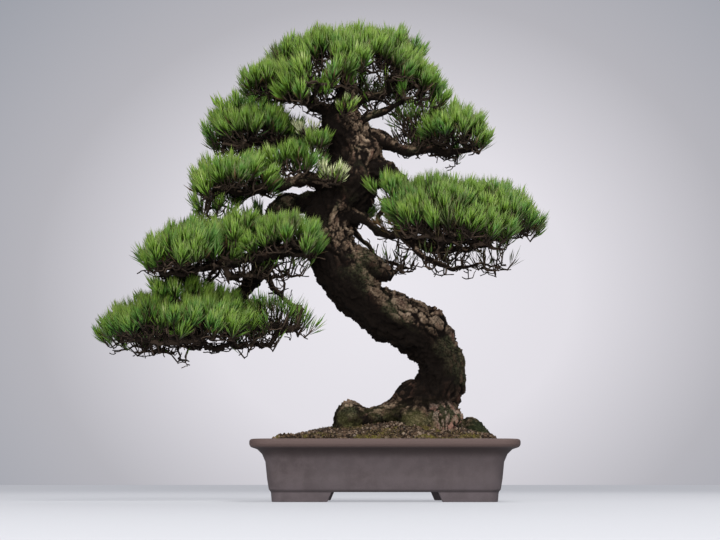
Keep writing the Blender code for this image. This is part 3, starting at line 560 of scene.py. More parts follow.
def smooth_route(route, step):
    """Points and radii along a route, about one every step millimetres, on one smooth curve."""
    rows = [np.array(row, float) for row in route]
    rows = [2 * rows[0] - rows[1], *rows, 2 * rows[-1] - rows[-2]]
    points = []
    for i in range(1, len(rows) - 2):
        a, b, c, d = rows[i - 1 : i + 3]
        count = max(1, round(float(np.linalg.norm((c - b)[:3])) / step))
        for k in range(count):
            t = k / count
            points.append(0.5 * (2 * b + (c - a) * t + (2 * a - 5 * b + 4 * c - d) * t**2
                                 + (3 * b - a - 3 * c + d) * t**3))
    points.append(rows[-2])
    return np.array(points)


def frames_along(points):
    """Two directions square to a route at each of its points, turning as little as they can."""
    ways = unit(np.gradient(points, axis=0))
    first = np.zeros_like(points)
    side = np.cross(ways[0], (0.3, 0.9, 0.1))
    for k, way in enumerate(ways):
        side = unit(side - np.dot(side, way) * way)
        first[k] = side
    return ways, first, np.cross(ways, first)


def ring_faces(rings, sides):
    """Triangles between rings of points in a row, closed by one point at each end."""
    near = np.arange(sides)
    following = (near + 1) % sides
    starts = np.arange(rings - 1)[:, None] * sides
    a = (starts + near).ravel()
    b = (starts + following).ravel()
    last = (rings - 1) * sides
    low = np.full(sides, rings * sides)
    high = low + 1
    return np.concatenate([np.stack(corners, axis=1) for corners in (
        (a, b, b + sides), (a, b + sides, a + sides), (low, following, near),
        (high, last + near, last + following))])


def tube_of(points, radii, sides):
    """A closed tube: its points, and its faces as triangles."""
    _, first, second = frames_along(points)
    turns = 2 * np.pi * np.arange(sides)[None, :, None] / sides
    ring = np.cos(turns) * first[:, None] + np.sin(turns) * second[:, None]
    rows = points[:, None] + radii[:, None, None] * ring
    body = np.concatenate([rows.reshape(-1, 3), points[:1], points[-1:]])
    return body, ring_faces(len(points), sides)


def gathered(parts):
    """Several meshes' points and faces as one."""
    points, faces, start = [], [], 0
    for part_points, part_faces in parts:
        points.append(part_points)
        faces.append(part_faces + start)
        start += len(part_points)
    return np.concatenate(points), np.concatenate(faces)


# Bark


class Straightened:
    """Coordinates along and round the nearest limb, so that bark follows the wood's own way."""

    def __init__(self, routes, step=4.0):
        rows = []
        for number, route in enumerate(routes):
            samples = smooth_route(route, step)
            ways, first, second = frames_along(samples[:, :3])
            steps = np.linalg.norm(np.diff(samples[:, :3], axis=0), axis=1)
            lengths = np.concatenate([[0], np.cumsum(steps)]) + 1000.0 * number
            rows.append(np.hstack([samples, ways, first, second, lengths[:, None]]))
        self.rows = np.vstack(rows)

    def of(self, points, chunk=4000):
        middles, radii = self.rows[:, :3], self.rows[:, 3]
        straight = np.zeros((len(points), 3))
        radius = np.zeros(len(points))
        for start in range(0, len(points), chunk):
            part = points[start : start + chunk]
            apart = np.sqrt(np.maximum((part**2).sum(1)[:, None] - 2 * part @ middles.T
                                       + (middles**2).sum(1)[None, :], 0)) - radii[None, :]
            row = self.rows[apart.argmin(axis=1)]
            away = part - row[:, :3]
            along = (away * row[:, 4:7]).sum(1)
            turn = np.arctan2((away * row[:, 10:13]).sum(1), (away * row[:, 7:10]).sum(1))
            straight[start : start + chunk] = np.stack(
                [row[:, 3] * np.cos(turn), row[:, 3] * np.sin(turn), row[:, 13] + along], axis=1)
            radius[start : start + chunk] = row[:, 3]
        return straight, radius


def wood_body(name, routes, sides, step, voxel, crook):
    """Tubes along the routes, fused into one closed body with even small faces; crook bends them."""
    parts = []
    for number, route in enumerate(routes):
        samples = smooth_route(route, step)
        places = samples[:, :3] + 300.0 * number
        wander = np.stack([soft_noise(places / 17.0, 90 + k) for k in range(3)], axis=1)
        samples[:, :3] += crook * wander * smooth_step(np.arange(len(samples)), 3, 9)[:, None]
        samples[:, 3] *= 1 + 0.05 * crook * soft_noise(places / 10.0, 95)
        parts.append(tube_of(samples[:, :3], np.maximum(samples[:, 3], 2.2), sides))
    points, faces = gathered(parts)
    obj = shown(name, mesh_of(name, points, faces))
    applied(obj, "REMESH", mode="VOXEL", voxel_size=voxel * MM, use_smooth_shade=True)
    applied(obj, "SMOOTH", factor=0.5, iterations=6)
    mesh = obj.data
    bpy.data.objects.remove(obj)
    return mesh


def knobs_at(points):
    """How far old cuts and burls raise the bark."""
    raised = np.zeros(len(points))
    for middle, wide, out in KNOBS:
        apart = np.linalg.norm(points - middle, axis=1) / wide
        raised += out * np.exp(-1.6 * apart**2)
    return raised


def near_to(points, middle, wide):
    """1 at a spot, fading out round it."""
    return np.exp(-(np.linalg.norm(points - middle, axis=1) / wide) ** 2)


def thick_bark(mesh, routes):
    """Raises wood into furrowed plates of thin flakes, and notes their depth and tint for the paint, with
    the grooves marked for painted shade and a mask of weathering and painted light, lighter on the side
    facing the key lamp and painted in shadow under the bend.
    """
    points = millimetres(vertex_rows(mesh, "co"))
    normals = vertex_rows(mesh, "normal")
    straight, radius = Straightened(routes).of(points)
    warp = np.stack([fractal(straight, WARP, 20 + k, 3) for k in range(3)], axis=1)
    ragged = np.stack([fractal(straight, RAGGED, 24 + k, 2) for k in range(3)], axis=1)
    spots = straight + 10.0 * warp + 2.2 * ragged
    groove = np.abs(fractal(straight + 14 * warp, GROOVE, 3, 2))
    folds = 0.30 * np.minimum(radius, 48) * (np.minimum(groove, 0.5) - 0.24)
    border, tint = plate_cells(spots, PLATE, 5)
    plate = smooth_step(border, 0.02, 0.26)
    flake_border, flake_tint = plate_cells(spots + 5.0 * warp[:, ::-1], FLAKE, 9)
    flake = smooth_step(flake_border, 0.02, 0.34)
    layers = 3.2 * fractal(spots, LAYER, 40, 3)
    on_layer = layers - np.floor(layers)
    terrace = np.floor(layers) + smooth_step(on_layer, 0.35, 0.65)
    plates = plate * (1.0 + 3.6 * tint) + plate * flake * (0.5 + 2.2 * flake_tint)
    height = plates + 1.2 * terrace + 0.6 * fractal(straight, FINE, 31, 2)
    size = np.clip(0.1 + radius / 42, 0.2, 1.1)
    ends = np.array([row[:3] for row in (BURL[-2], BURL[-3], SHOULDER[-2], SHOULDER[-3])], float)
    lobes = sum(near_to(points, end, 20) for end in ends)
    rugged = 5.5 * np.minimum(lobes, 1) * fractal(points, LOBE_LUMP, 83, 3)
    foot = 1 - smooth_step(points[:, 2], 140, 185)
    lumpy = foot * 3.2 * fractal(points, FOOT_LUMP, 81, 3)
    out = folds + knobs_at(points) + rugged + size * (height - 3.6) + lumpy
    mesh.vertices.foreach_set("co", placed(points + normals * out[:, None]).astype(np.float32).ravel())
    mesh.update()
    # Painted light: bark facing the key lamp is lighter, mixed with patches of real weathering.
    toward_light = normals @ unit(np.array((0.5, -0.25, 0.8)))
    weather = smooth_step(toward_light + 0.4 * fractal(straight, WEATHER_AND_LIGHT, 70, 3), -0.1, 0.65)
    # Painted shadow under the trunk's bend, which darkens the lit mask.
    shade = near_to(points, SHADED_FOOT, 52)
    point_values(mesh, "plate", plate * (0.35 + 0.65 * flake))
    # The grooves, which the paint makes near black: partly the dark inner bark, partly painted shade.
    point_values(mesh, "crease", 1 - smooth_step(groove, 0.0, 0.22))
    point_values(mesh, "tint", 0.25 * tint + 0.5 * flake_tint + 0.25 * on_layer)
    point_values(mesh, "weather", weather * (1 - 0.85 * shade))
    return mesh


def bark_finish():
    bark = Finish("pine bark", Roughness=0.95, Specular_IOR_Level=0.08)
    plate = bark.attribute("plate")
    tint = bark.attribute("tint")
    weather = bark.attribute("weather")
    grain = bark.noise(330.0, 6.0, 0.72)
    broad = bark.noise(14.0, 3.0, 0.5)
    streak = bark.noise(70.0, 5.0, 0.65, stretch=(1.0, 1.0, 0.35))
    # Lighter, redder plates where the bark is weathered and, as painted light, on the side facing the key
    # lamp.
    aged_and_lit = bark.ramp((tint * 0.30 + grain * 0.45 + weather * 0.38).step(0.34, 0.94), [
        (0.0, (0.007, 0.0045, 0.003)), (0.35, (0.022, 0.014, 0.009)), (0.6, (0.062, 0.041, 0.027)),
        (0.82, (0.165, 0.115, 0.076)), (1.0, (0.340, 0.255, 0.180))])
    red = bark.mix(streak.step(0.5, 0.66) * weather * 0.55, aged_and_lit, (0.120, 0.056, 0.042))
    # Near black in the cracks between plates and in the grooves, partly dark inner bark and partly painted
    # shade, and darker as painted shade on the side away from the lamp.
    raised = plate.step(0.1, 0.75) * (0.35 + weather * 0.65) * (1 - bark.attribute("crease") * 0.8)
    dark = bark.mix(raised, (0.0055, 0.0035, 0.0025), red)
    lichen = broad.step(0.5, 0.6) * grain.step(0.42, 0.6) * weather
    grey = bark.mix(lichen * 0.6, dark, (0.085, 0.090, 0.045))
    flaky = (1 - bark.apart(FLAKY_ROOT).step(0.025, 0.062)) * grain.step(0.36, 0.56)
    fresh = bark.mix(streak.step(0.4, 0.6), (0.300, 0.225, 0.180), (0.220, 0.110, 0.085))
    pink = bark.mix(flaky * plate.step(0.1, 0.6) * 0.8, grey, fresh)
    patchy = bark.noise(34.0, 4.0, 0.6).step(0.40, 0.60)
    low = (1 - bark.height().step(0.110, 0.185)) * patchy * (1 - flaky * 0.8).clipped()
    moss = bark.ramp(grain, [(0.3, (0.012, 0.012, 0.004)), (0.5, (0.046, 0.044, 0.015)),
                             (0.7, (0.135, 0.125, 0.055))])
    mossy = (1 - bark.apart(MOSSY_ROOT).step(0.024, 0.050)) * 0.9
    green = bark.mix(low.larger(mossy) * 0.9, pink, moss)
    clump = 1 - bark.apart(DARK_CLUMP).step(0.030, 0.055)
    bark.set("Base Color", bark.mix(clump * 0.85, green, bark.ramp(grain, [
        (0.35, (0.004, 0.005, 0.003)), (0.6, (0.020, 0.026, 0.012)), (0.75, (0.060, 0.066, 0.036))])))
    chips = bark.cells(210.0, "DISTANCE_TO_EDGE").step(0.0, 0.12)
    bark.bump(grain * 0.7 + chips * 0.25 + streak * 0.3, 0.0028, 1.0)
    return bark.material


def make_trunk(finish):
    routes = [TRUNK, SHOULDER, BURL, *ROOTS.values()]
    wood = wood_body("trunk_wood", routes, sides=28, step=6.0, voxel=2.55, crook=0.0)
    piece("trunk_bark", thick_bark(wood, routes), finish, "bark", "trunk")


def make_limbs(finish):
    routes = list(LIMBS.values())
    wood = wood_body("limb_wood", routes, sides=14, step=5.0, voxel=2.75, crook=5.0)
    piece("limb_bark", thick_bark(wood, routes), finish, "bark", "trunk")


# Foliage


def pad_height(pad, x, y):
    """Height of a pad's rounded top."""
    centre, half = pad.centre, pad.half
    away = np.hypot((x - centre[0]) / half[0], (y - centre[1]) / half[1])
    return centre[2] - pad.drop * np.minimum(away, PAD_EDGE) ** PAD_CURVE + pad.slope * (x - centre[0])


def spread_over(pad, count, reach, turned, draw):
    """Places spread evenly over a pad's ellipse."""
    centre, half = pad.centre, pad.half
    k = np.arange(count)
    away = reach * np.sqrt((k + 0.5) / count)
    turn = k * math.pi * (3 - math.sqrt(5)) + turned
    spread = 0.35 * reach * math.sqrt(half[0] * half[1] / count)
    x = centre[0] + half[0] * away * np.cos(turn) + draw.normal(0, spread, count)
    y = centre[1] + half[1] * away * np.sin(turn) + draw.normal(0, spread, count)
    return x, y


def beside_windows(bases, axes):
    """Which shoots leave the windows of the crown clear."""
    clear = np.ones(len(bases), bool)
    for x, z, wide in WINDOWS:
        start = np.array((x, WINDOW_FACE, z), float)
        way = unit(start - np.array(CAMERA_PLACE))
        for reach in (0.0, 0.5, 1.0):
            away = bases + reach * SHOOT_REACH * axes - start
            aside = away - (away @ way)[:, None] * way
            clear &= np.linalg.norm(aside, axis=1) > wide
    return clear


def shoots_of(pad, draw):
    """Where a pad's shoots start, and the way each points."""
    centre, half, count = pad.centre, pad.half, pad.shoots
    x, y = spread_over(pad, count, 1.0, 0.8, draw)
    lumps = 5.0 * soft_noise(np.stack([x / 38, y / 38, np.full(count, centre[2])], axis=1), 4)
    z = pad_height(pad, x, y) - BASE_DEPTH + lumps + draw.normal(0, pad.differ, count)
    out = np.stack([(x - centre[0]) / half[0], (y - centre[1]) / half[1], np.zeros(count)], axis=1)
    away = np.linalg.norm(out, axis=1, keepdims=True)
    lean = np.stack([draw.normal(0, 0.2, count), draw.normal(0, 0.2, count), np.ones(count)], axis=1)
    bases = np.stack([x, y, z], axis=1)
    axes = unit(lean + SHOOT_LEAN * out * (0.4 + 0.9 * away))
    clear = beside_windows(bases, axes) | (centre[1] > BEHIND_WINDOWS)
    return bases[clear], axes[clear]


def square_to(ways):
    """Two directions square to each of many."""
    helper = np.where(np.abs(ways[:, 2:3]) < 0.8, UP, (1.0, 0.0, 0.0))
    first = unit(np.cross(ways, helper))
    return first, np.cross(ways, first)


def needles_on(pad, bases, axes, draw):
    """Start, way, length and tint of every needle on the shoots."""
    tone = pad.lightness
    count = max(2, int(NEEDLES_PER_SHOOT * pad.fullness))
    shoots = len(bases)
    along = draw.uniform(0.03, 1.0, (shoots, count)) ** 0.8
    turn = draw.uniform(0, 2 * math.pi, (shoots, count))
    spread = np.radians(46 - 38 * along + draw.normal(0, 6, (shoots, count)))
    first, second = square_to(axes)
    radial = np.cos(turn)[..., None] * first[:, None] + np.sin(turn)[..., None] * second[:, None]
    ways = np.cos(spread)[..., None] * axes[:, None] + np.sin(spread)[..., None] * radial
    ways = unit(ways + 0.32 * UP)
    off = draw.uniform(0.8, 2.4, (shoots, count, 1)) * radial
    starts = bases[:, None] + SHOOT_LENGTH * along[..., None] * axes[:, None] + off
    lengths = draw.uniform(*NEEDLE_LENGTH, (shoots, count)) * draw.uniform(0.86, 1.1, (shoots, 1))
    lengths *= min(1.0, max(0.6, pad.half[0] / SMALL_PAD))
    patch = 0.13 * soft_noise(bases / 45.0, 12)[:, None]
    # The pad's tone carries painted light on low pads in shade and painted shade on inner and under pads;
    # needles lower on the shoot, deeper in the pad, are darker as painted shade.
    tint = (0.50 + tone + patch + 0.30 * (along - 0.5) + draw.normal(0, 0.06, (shoots, 1))
            + draw.normal(0, 0.10, (shoots, count)))
    brown = (along < 0.25) & (draw.uniform(0, 1, tint.shape) < 0.14)
    darkest = 0.1 if tone > -0.5 else 0.0
    tint = np.where(brown, 0.03, np.clip(tint, darkest, 0.9 + max(tone, 0)))
    return [a.reshape(-1, *a.shape[2:]) for a in (starts, ways, lengths, tint)]


def tint_column(tint):
    """Where across the map a tint lies: the middle of one of its columns."""
    column = np.clip(np.round(np.clip(tint, 0, 1) * (TINT_BINS - 1)), 0, TINT_BINS - 1)
    return MAP_EDGE + MAP_SPAN * (column + 0.5) / TINT_BINS


def draw_map(mesh, places):
    layer = mesh.uv_layers.new(name="OFBake")
    layer.data.foreach_set("uv", places.astype(np.float32).ravel())


def tinted_map(mesh, faces, tint, along):
    """A map for the paint: tint across and place along, from values at the points, with no thin faces."""
    u = tint_column(tint)[faces] + np.array((-MAP_JOG, MAP_JOG, 0.0))
    v = MAP_EDGE + MAP_SPAN * np.clip(along, 0, 1)[faces]
    flat = np.ptp(v, axis=1) < 0.01
    v[flat] += np.array((0.0, 0.0, 0.012)) * np.where(v[flat, :1] > 0.5, -1, 1)
    draw_map(mesh, np.stack([u, v], axis=2))


def needle_mesh(name, starts, ways, lengths, tints, draw):
    """Slim three-sided needles, slightly bent; the map holds tint and length."""
    count = len(starts)
    first, second = square_to(ways)
    bend = draw.normal(0, 0.035, (count, 1)) * first + draw.normal(0, 0.035, (count, 1)) * second
    middle = starts + lengths[:, None] * (0.5 * ways + bend) + 0.4 * NEEDLE_WIDTH * second
    tips = starts + lengths[:, None] * ways
    side = 0.5 * NEEDLE_WIDTH * first
    points = np.stack([starts, middle - side, middle + side, tips], axis=1).reshape(-1, 3)
    corners = np.array([(0, 1, 2), (3, 2, 1), (0, 3, 1), (0, 2, 3)])
    faces = (4 * np.arange(count)[:, None, None] + corners[None]).reshape(-1, 3)
    mesh = mesh_of(name, points, faces)
    u = tint_column(tints)
    across = np.stack([u, u - MAP_JOG, u + MAP_JOG, u], axis=1)
    up = np.tile((MAP_EDGE, 0.5, 0.5, MAP_EDGE + MAP_SPAN), (count, 1))
    draw_map(mesh, np.stack([across, up], axis=2).reshape(-1, 2)[faces.ravel()])
    return mesh


def needle_finish():
    needle = Finish("pine needles", Roughness=0.5, Specular_IOR_Level=0.22)
    where = needle.on_map("X")
    along = needle.on_map("Y")
    tint = needle.ramp(where, [
        (0.0, (0.085, 0.036, 0.012)), (0.08, (0.060, 0.042, 0.014)), (0.2, (0.048, 0.050, 0.020)),
        (0.3, (0.044, 0.072, 0.014)), (0.45, (0.070, 0.142, 0.014)), (0.64, (0.106, 0.194, 0.018)),
        (0.84, (0.150, 0.232, 0.028)), (1.0, (0.560, 0.560, 0.350))])
    deep = needle.noise(16.0, 2.0, 0.5).step(0.5, 0.62) * where.step(0.3, 0.42) * (1 - where.step(0.62, 0.8))
    tint = needle.mix(deep * 0.6, tint, (0.034, 0.125, 0.020))
    sheath = needle.mix(0.4, tint, (0.090, 0.080, 0.028))
    lower = needle.mix(along.step(0.0, 0.25), sheath, tint)
    needle.set("Base Color", needle.mix(along.step(0.62, 1.0) * 0.5, lower, (0.190, 0.185, 0.075)))
    return needle.material


# Twigs


class TwigTree:
    """Twigs that grow from the limbs to the shoots, each from the nearest wood that suits it."""

    def __init__(self, routes, most=40000):
        rows = np.vstack([smooth_route(route, LIMB_STEP) for route in routes])
        self.places = np.zeros((most, 3))
        self.places[: len(rows)] = rows[:, :3]
        self.parents = np.full(most, -1)
        self.flow = np.zeros(most)
        self.limbs = self.size = len(rows)
        self.chains = []

    def add(self, place, parent, flow=0.0):
        self.places[self.size] = place
        self.parents[self.size] = parent
        self.flow[self.size] = flow
        self.size += 1
        return self.size - 1

    def reach(self, target, axis, rise, crook, draw):
        """Grows a twig to a place, from wood that lies at least some rise below it where it can."""
        away = target - self.places[: self.size]
        apart = np.linalg.norm(away, axis=1)
        cost = apart + 0.9 * np.maximum(0, rise - away[:, 2]) + np.where(apart < 6, 40, 0)
        start = int(cost.argmin())
        place = self.places[start].copy()
        span = target - place
        length = float(np.linalg.norm(span))
        bend = place + 0.5 * span * (1, 1, 0) + (0, 0, 0.1 * span[2] - 0.05 * length)
        turn = target - axis * 0.35 * length
        count = max(2, int(length / TWIG_STEP))
        shares = np.linspace(0, 1, count + 1)[1:, None]
        route = ((1 - shares) ** 3 * place + 3 * shares * (1 - shares) ** 2 * bend
                 + 3 * shares**2 * (1 - shares) * turn + shares**3 * target)
        route[:-1] += draw.normal(0, crook, (count - 1, 3))
        chain = [start]
        for point in route:
            chain.append(self.add(point, chain[-1]))
        self.chains.append(chain)
        return chain

    def load(self, node):
        """Thickens the wood from a node down to its limb, for the one shoot that it carries more."""
        while node >= self.limbs:
            self.flow[node] += 1.0
            node = self.parents[node]

    def stub(self, draw, low, high):
        """A short bare side twig, from one of the places counted from low to high."""
        node = int(draw.integers(low, high))
        place = self.places[node].copy()
        way = unit(draw.normal(0, 1, 3) * (1, 1, 0.35 if low else 1.0))
        place = place + way * (0 if low else 4)
        chain = [node]
        for _ in range(int(draw.integers(2, 6))):
            way = unit(way + draw.normal(0, 0.4, 3) * (1, 1, 0.7) + (0, 0, 0.1))
            place = place + way * STUB_STEP
            chain.append(self.add(place, chain[-1], 0.5))
        self.chains.append(chain)

    def body(self, draw):
        """A tube and a tint for every chain of twigs."""
        parts, tints = [], []
        for chain in self.chains:
            radii = np.minimum(1.1 * np.maximum(self.flow[chain[1:]], 0.7) ** 0.52, 7.0)
            radii *= draw.uniform(0.85, 1.2, len(radii))
            radii = np.concatenate([radii[:1] * 1.15, radii])
            parts.append(tube_of(self.places[chain], radii, 5 if radii[0] > 1.2 else 4))
            tints.append(draw.uniform(0, 1))
        return parts, tints


def twig_mesh(name, parts, tints, draw):
    """Many tubes as one mesh, each with its own tint."""
    points, faces = gathered(parts)
    mesh = mesh_of(name, points, faces)
    tint = np.repeat(tints, [len(part_points) for part_points, _ in parts])
    tinted_map(mesh, faces, tint, draw.uniform(0, 1, len(points)))
    return mesh


def twig_finish():
    twig = Finish("twig bark", Roughness=0.95, Specular_IOR_Level=0.08)
    twig.set("Base Color", twig.ramp(twig.on_map("X"), [
        (0.0, (0.006, 0.004, 0.003)), (0.5, (0.020, 0.014, 0.010)), (0.85, (0.045, 0.031, 0.022)),
        (1.0, (0.080, 0.056, 0.040))]))
    return twig.material


def nearest_first(places, spots):
    """The order of the spots by how near each lies to any of the places."""
    return np.argsort([np.linalg.norm(places - spot, axis=1).min() for spot in spots])


def grow_twigs(name, pad, limbs, bases, axes, draw):
    """The branches and twigs that carry one pad."""
    tree = TwigTree(limbs)
    ribs = max(3, len(bases) // 3)
    x, y = spread_over(pad, ribs, 0.86, 2.0, draw)
    top = pad_height(pad, x, y) - BASE_DEPTH
    low = np.minimum(pad.low + draw.normal(0, 3, ribs), top - 6)
    spots = np.stack([x, y, low + 0.55 * draw.uniform(0.0, 1.0, ribs) ** 2.2 * (top - low)], axis=1)
    limb_places = tree.places[: tree.limbs].copy()
    for k in nearest_first(limb_places, spots):
        tree.reach(spots[k], np.array((0.0, 0.0, 0.3)), -10.0, 2.0, draw)
    for k in nearest_first(limb_places, bases):
        chain = tree.reach(bases[k], axes[k], 18.0, 1.3, draw)
        tree.load(chain[-1])
    for _ in range(STUBS_PER_SHOOT * len(bases)):
        tree.stub(draw, tree.limbs, tree.size)
    parts, tints = tree.body(draw)
    along = np.array((-2.0, 0.5 * SHOOT_LENGTH, SHOOT_LENGTH))[:, None]
    for base, axis in zip(bases, axes):
        parts.append(tube_of(base + along * axis, np.array((1.3, 1.5, 0.7)), 4))
        tints.append(draw.uniform(0.4, 1))
    return twig_mesh(name, parts, tints, draw)


def bare_twigs(limbs):
    """Leafless twigs and spurs along the limbs themselves."""
    draw = np.random.default_rng(BARE_TWIG_SEED)
    tree = TwigTree(limbs)
    for _ in range(BARE_TWIGS):
        tree.stub(draw, 0, tree.limbs)
    for _ in range(BARE_TWIGS):
        tree.stub(draw, tree.limbs, tree.size)
    return twig_mesh("bare_twigs", *tree.body(draw), draw)


def make_foliage(needles, twigs):
    limbs = [*LIMBS.values(), TRUNK[-6:]]
    spray_nodes = [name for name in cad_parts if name.startswith("spray_")]
    taken = set()
    for number, (name, values) in enumerate(PADS.items()):
        pad = Pad(*values)
        draw = np.random.default_rng(FIRST_PAD_SEED + number)
        bases, axes = shoots_of(pad, draw)
        mine = [node for node in spray_nodes if node.rstrip("0123456789") == f"spray_{name}_"]
        taken.update(mine)
        grown = grow_twigs("twigs_" + name, pad, limbs, bases, axes, draw)
        piece("twigs_" + name, grown, twigs, "bark", *mine)
        grown = needle_mesh("needles_" + name, *needles_on(pad, bases, axes, draw), draw)
        piece("needles_" + name, grown, needles, "needles", *mine)
    piece("bare_twigs", bare_twigs(limbs), twigs, "bark")
    left = set(spray_nodes) - taken
    if left:
        raise RuntimeError(f"these sprays have no finished piece: {sorted(left)}")


# Pot


def rounded_rectangle(inset, corner_steps=10, side_steps=6):
    """The pot's outline seen from above, drawn in from its rim."""
    half_length = RIM_HALF_LENGTH - inset
    half_depth = RIM_HALF_DEPTH - inset
    radius = RIM_CORNER - CORNER_SHRINK * inset
    points = []
    for side_x, side_y, start in ((1, 1, 0), (-1, 1, 90), (-1, -1, 180), (1, -1, 270)):
        for step in range(corner_steps + 1):
            turn = math.radians(start + 90 * step / corner_steps)
            points.append((side_x * (half_length - radius) + radius * math.cos(turn),
                           side_y * (half_depth - radius) + radius * math.sin(turn)))
    outline = []
    for k, point in enumerate(points):
        outline.append(point)
        if k % (corner_steps + 1) == corner_steps:
            following = points[(k + 1) % len(points)]
            for step in range(1, side_steps):
                share = step / side_steps
                outline.append(tuple((1 - share) * a + share * b for a, b in zip(point, following)))
    return np.array(outline)


def bridged(form, corner_rows):
    """A closed body from rows of corners, each joined to the next."""
    rings = [[form.verts.new(placed(corner)) for corner in corners] for corners in corner_rows]
    for lower, upper in zip(rings, rings[1:]):
        for i in range(len(lower)):
            j = (i + 1) % len(lower)
            form.faces.new((lower[i], lower[j], upper[j], upper[i]))
    form.faces.new(list(reversed(rings[0])))
    form.faces.new(rings[-1])


def pot_rows(form, rows):
    """A body in the pot's own outline; rows are inset and height."""
    bridged(form, [[(x, y, height) for x, y in rounded_rectangle(inset)] for inset, height in rows])


def object_of(name, build):
    """An object of what a function builds."""
    form = bmesh.new()
    build(form)
    bmesh.ops.recalc_face_normals(form, faces=form.faces)
    return shown(name, mesh_from(form, name))


def foot_gap(form, halves, reach, along_x):
    """A block that cuts the gap between two feet, wider at its bottom than at its top."""
    top, bottom = halves
    wide = bottom + (bottom - top) / FOOT_HEIGHT * CUT_DROP
    rows = []
    for half, z in ((wide, -CUT_DROP), (top, FOOT_HEIGHT)):
        flat = ((-half, -reach), (half, -reach), (half, reach), (-half, reach))
        rows.append([(y, x, z) if along_x else (x, y, z) for x, y in flat])
    bridged(form, rows)


def drain_hole(form, x, y, radius):
    made = bmesh.ops.create_cone(form, cap_ends=True, segments=28, radius1=radius * MM,
                                 radius2=radius * MM, depth=(FLOOR_TOP + 12) * MM)
    bmesh.ops.translate(form, verts=made["verts"], vec=Vector(placed((x, y, FLOOR_TOP / 2))))


def make_pot(finish):
    pot = object_of("clay_pot_body", lambda form: pot_rows(form, POT_OUTSIDE + POT_INSIDE))
    hollow = POT_OUTSIDE[0][0] + FOOT_WALL
    cuts = [
        lambda form: pot_rows(form, [(hollow, -CUT_DROP), (hollow, FOOT_HEIGHT)]),
        lambda form: foot_gap(form, FOOT_GAP_HALF, RIM_HALF_DEPTH + 10, False),
        lambda form: foot_gap(form, SIDE_GAP_HALF, RIM_HALF_LENGTH + 10, True),
    ]
    for hole in DRAIN_HOLES:
        cuts.append(lambda form, hole=hole: drain_hole(form, *hole))
    for number, cut in enumerate(cuts):
        cutter = object_of(f"pot_cut_{number}", cut)
        applied(pot, "BOOLEAN", operation="DIFFERENCE", object=cutter, solver="EXACT")
        bpy.data.objects.remove(cutter)
    applied(pot, "BEVEL", width=1.3 * MM, segments=2, limit_method="ANGLE", angle_limit=math.radians(32))
    mesh = pot.data
    bpy.data.objects.remove(pot)
    mesh.shade_smooth()
    mesh.set_sharp_from_angle(angle=math.radians(50))
    piece("clay_pot", mesh, finish, "clay", "pot")


def clay_finish():
    clay = Finish("unglazed clay", Specular_IOR_Level=0.3)
    height = clay.height()
    broad = clay.noise(9.0, 4.0, 0.6)
    mottle = clay.noise(55.0, 4.0, 0.6)
    speck = clay.noise(900.0, 2.0, 0.5)
    body = clay.mix(mottle.step(0.3, 0.7), (0.049, 0.036, 0.036), (0.072, 0.055, 0.056))
    body = clay.mix(broad.step(0.35, 0.7) * 0.5, body, (0.080, 0.064, 0.066))
    pale = (1 - height.step(0.010, 0.050)) * (0.2 + mottle * 0.4)
    body = clay.mix(pale.clipped() * 0.6, body, (0.125, 0.104, 0.112))
    # Painted shade: a dark band where the body steps in above the feet.
    line = height.step(0.0150, 0.0168) * (1 - height.step(0.0185, 0.0225))
    body = clay.mix(line * 0.6, body, (0.018, 0.013, 0.014))
    rim = height.step(0.0885, 0.0925)
    body = clay.mix(rim * 0.8, body, (0.078, 0.049, 0.042))
    # Painted shade in the cove under the rim's overhang.
    under_rim_shade = height.step(0.070, 0.084) * (1 - rim)
    body = clay.mix(under_rim_shade * 0.75, body, (0.018, 0.011, 0.010))
    body = clay.mix(speck.step(0.62, 0.75) * 0.35, body, (0.03, 0.022, 0.022))
    body = clay.mix((1 - speck.step(0.25, 0.38)) * 0.2, body, (0.17, 0.145, 0.14))
    clay.set("Base Color", body)
    clay.set("Roughness", 0.62 + mottle * 0.25)
    clay.bump(speck * 0.5 + clay.noise(240.0, 3.0, 0.6) * 0.5, 0.0005, 0.55)
    return clay.material


# Soil and moss


def inner_inset(height):
    """How far in from the rim the pot's inner wall lies at a height."""
    rows = sorted((z, inset) for inset, z in POT_INSIDE)
    heights, insets = zip(*rows)
    return float(np.interp(height, heights, insets))


def soil_height(x, y, edge):
    """Height of the soil: low along the rim, mounded up to the roots; edge runs from 0 to 1."""
    away = np.hypot((x - MOUND_CENTRE[0]) / MOUND_HALF[0], (y - MOUND_CENTRE[1]) / MOUND_HALF[1])
    mound = MOUND_RISE * np.maximum(0.0, 1 - away) ** 0.75
    shoulder = SOIL_SHOULDER * np.minimum(1.0, (1 - edge) / 0.10)
    return SOIL_EDGE_HEIGHT + mound * np.minimum(1.0, 2.5 * (1 - edge)) + shoulder


def soil_surface(x, y):
    """Height of the soil's top at any point inside the pot."""
    inset = inner_inset(SOIL_EDGE_HEIGHT) + 0.4
    edge = np.maximum(np.abs(x) / (RIM_HALF_LENGTH - inset), np.abs(y) / (RIM_HALF_DEPTH - inset))
    edge = np.clip(edge, 0, 1)
    spots = np.stack([x, y, np.zeros_like(x)], axis=-1)
    lumps = 2.4 * fractal(spots, (26, 26, 1), 60, 3) * np.minimum(1, 8 * (1 - edge))
    return soil_height(x, y, edge) + lumps


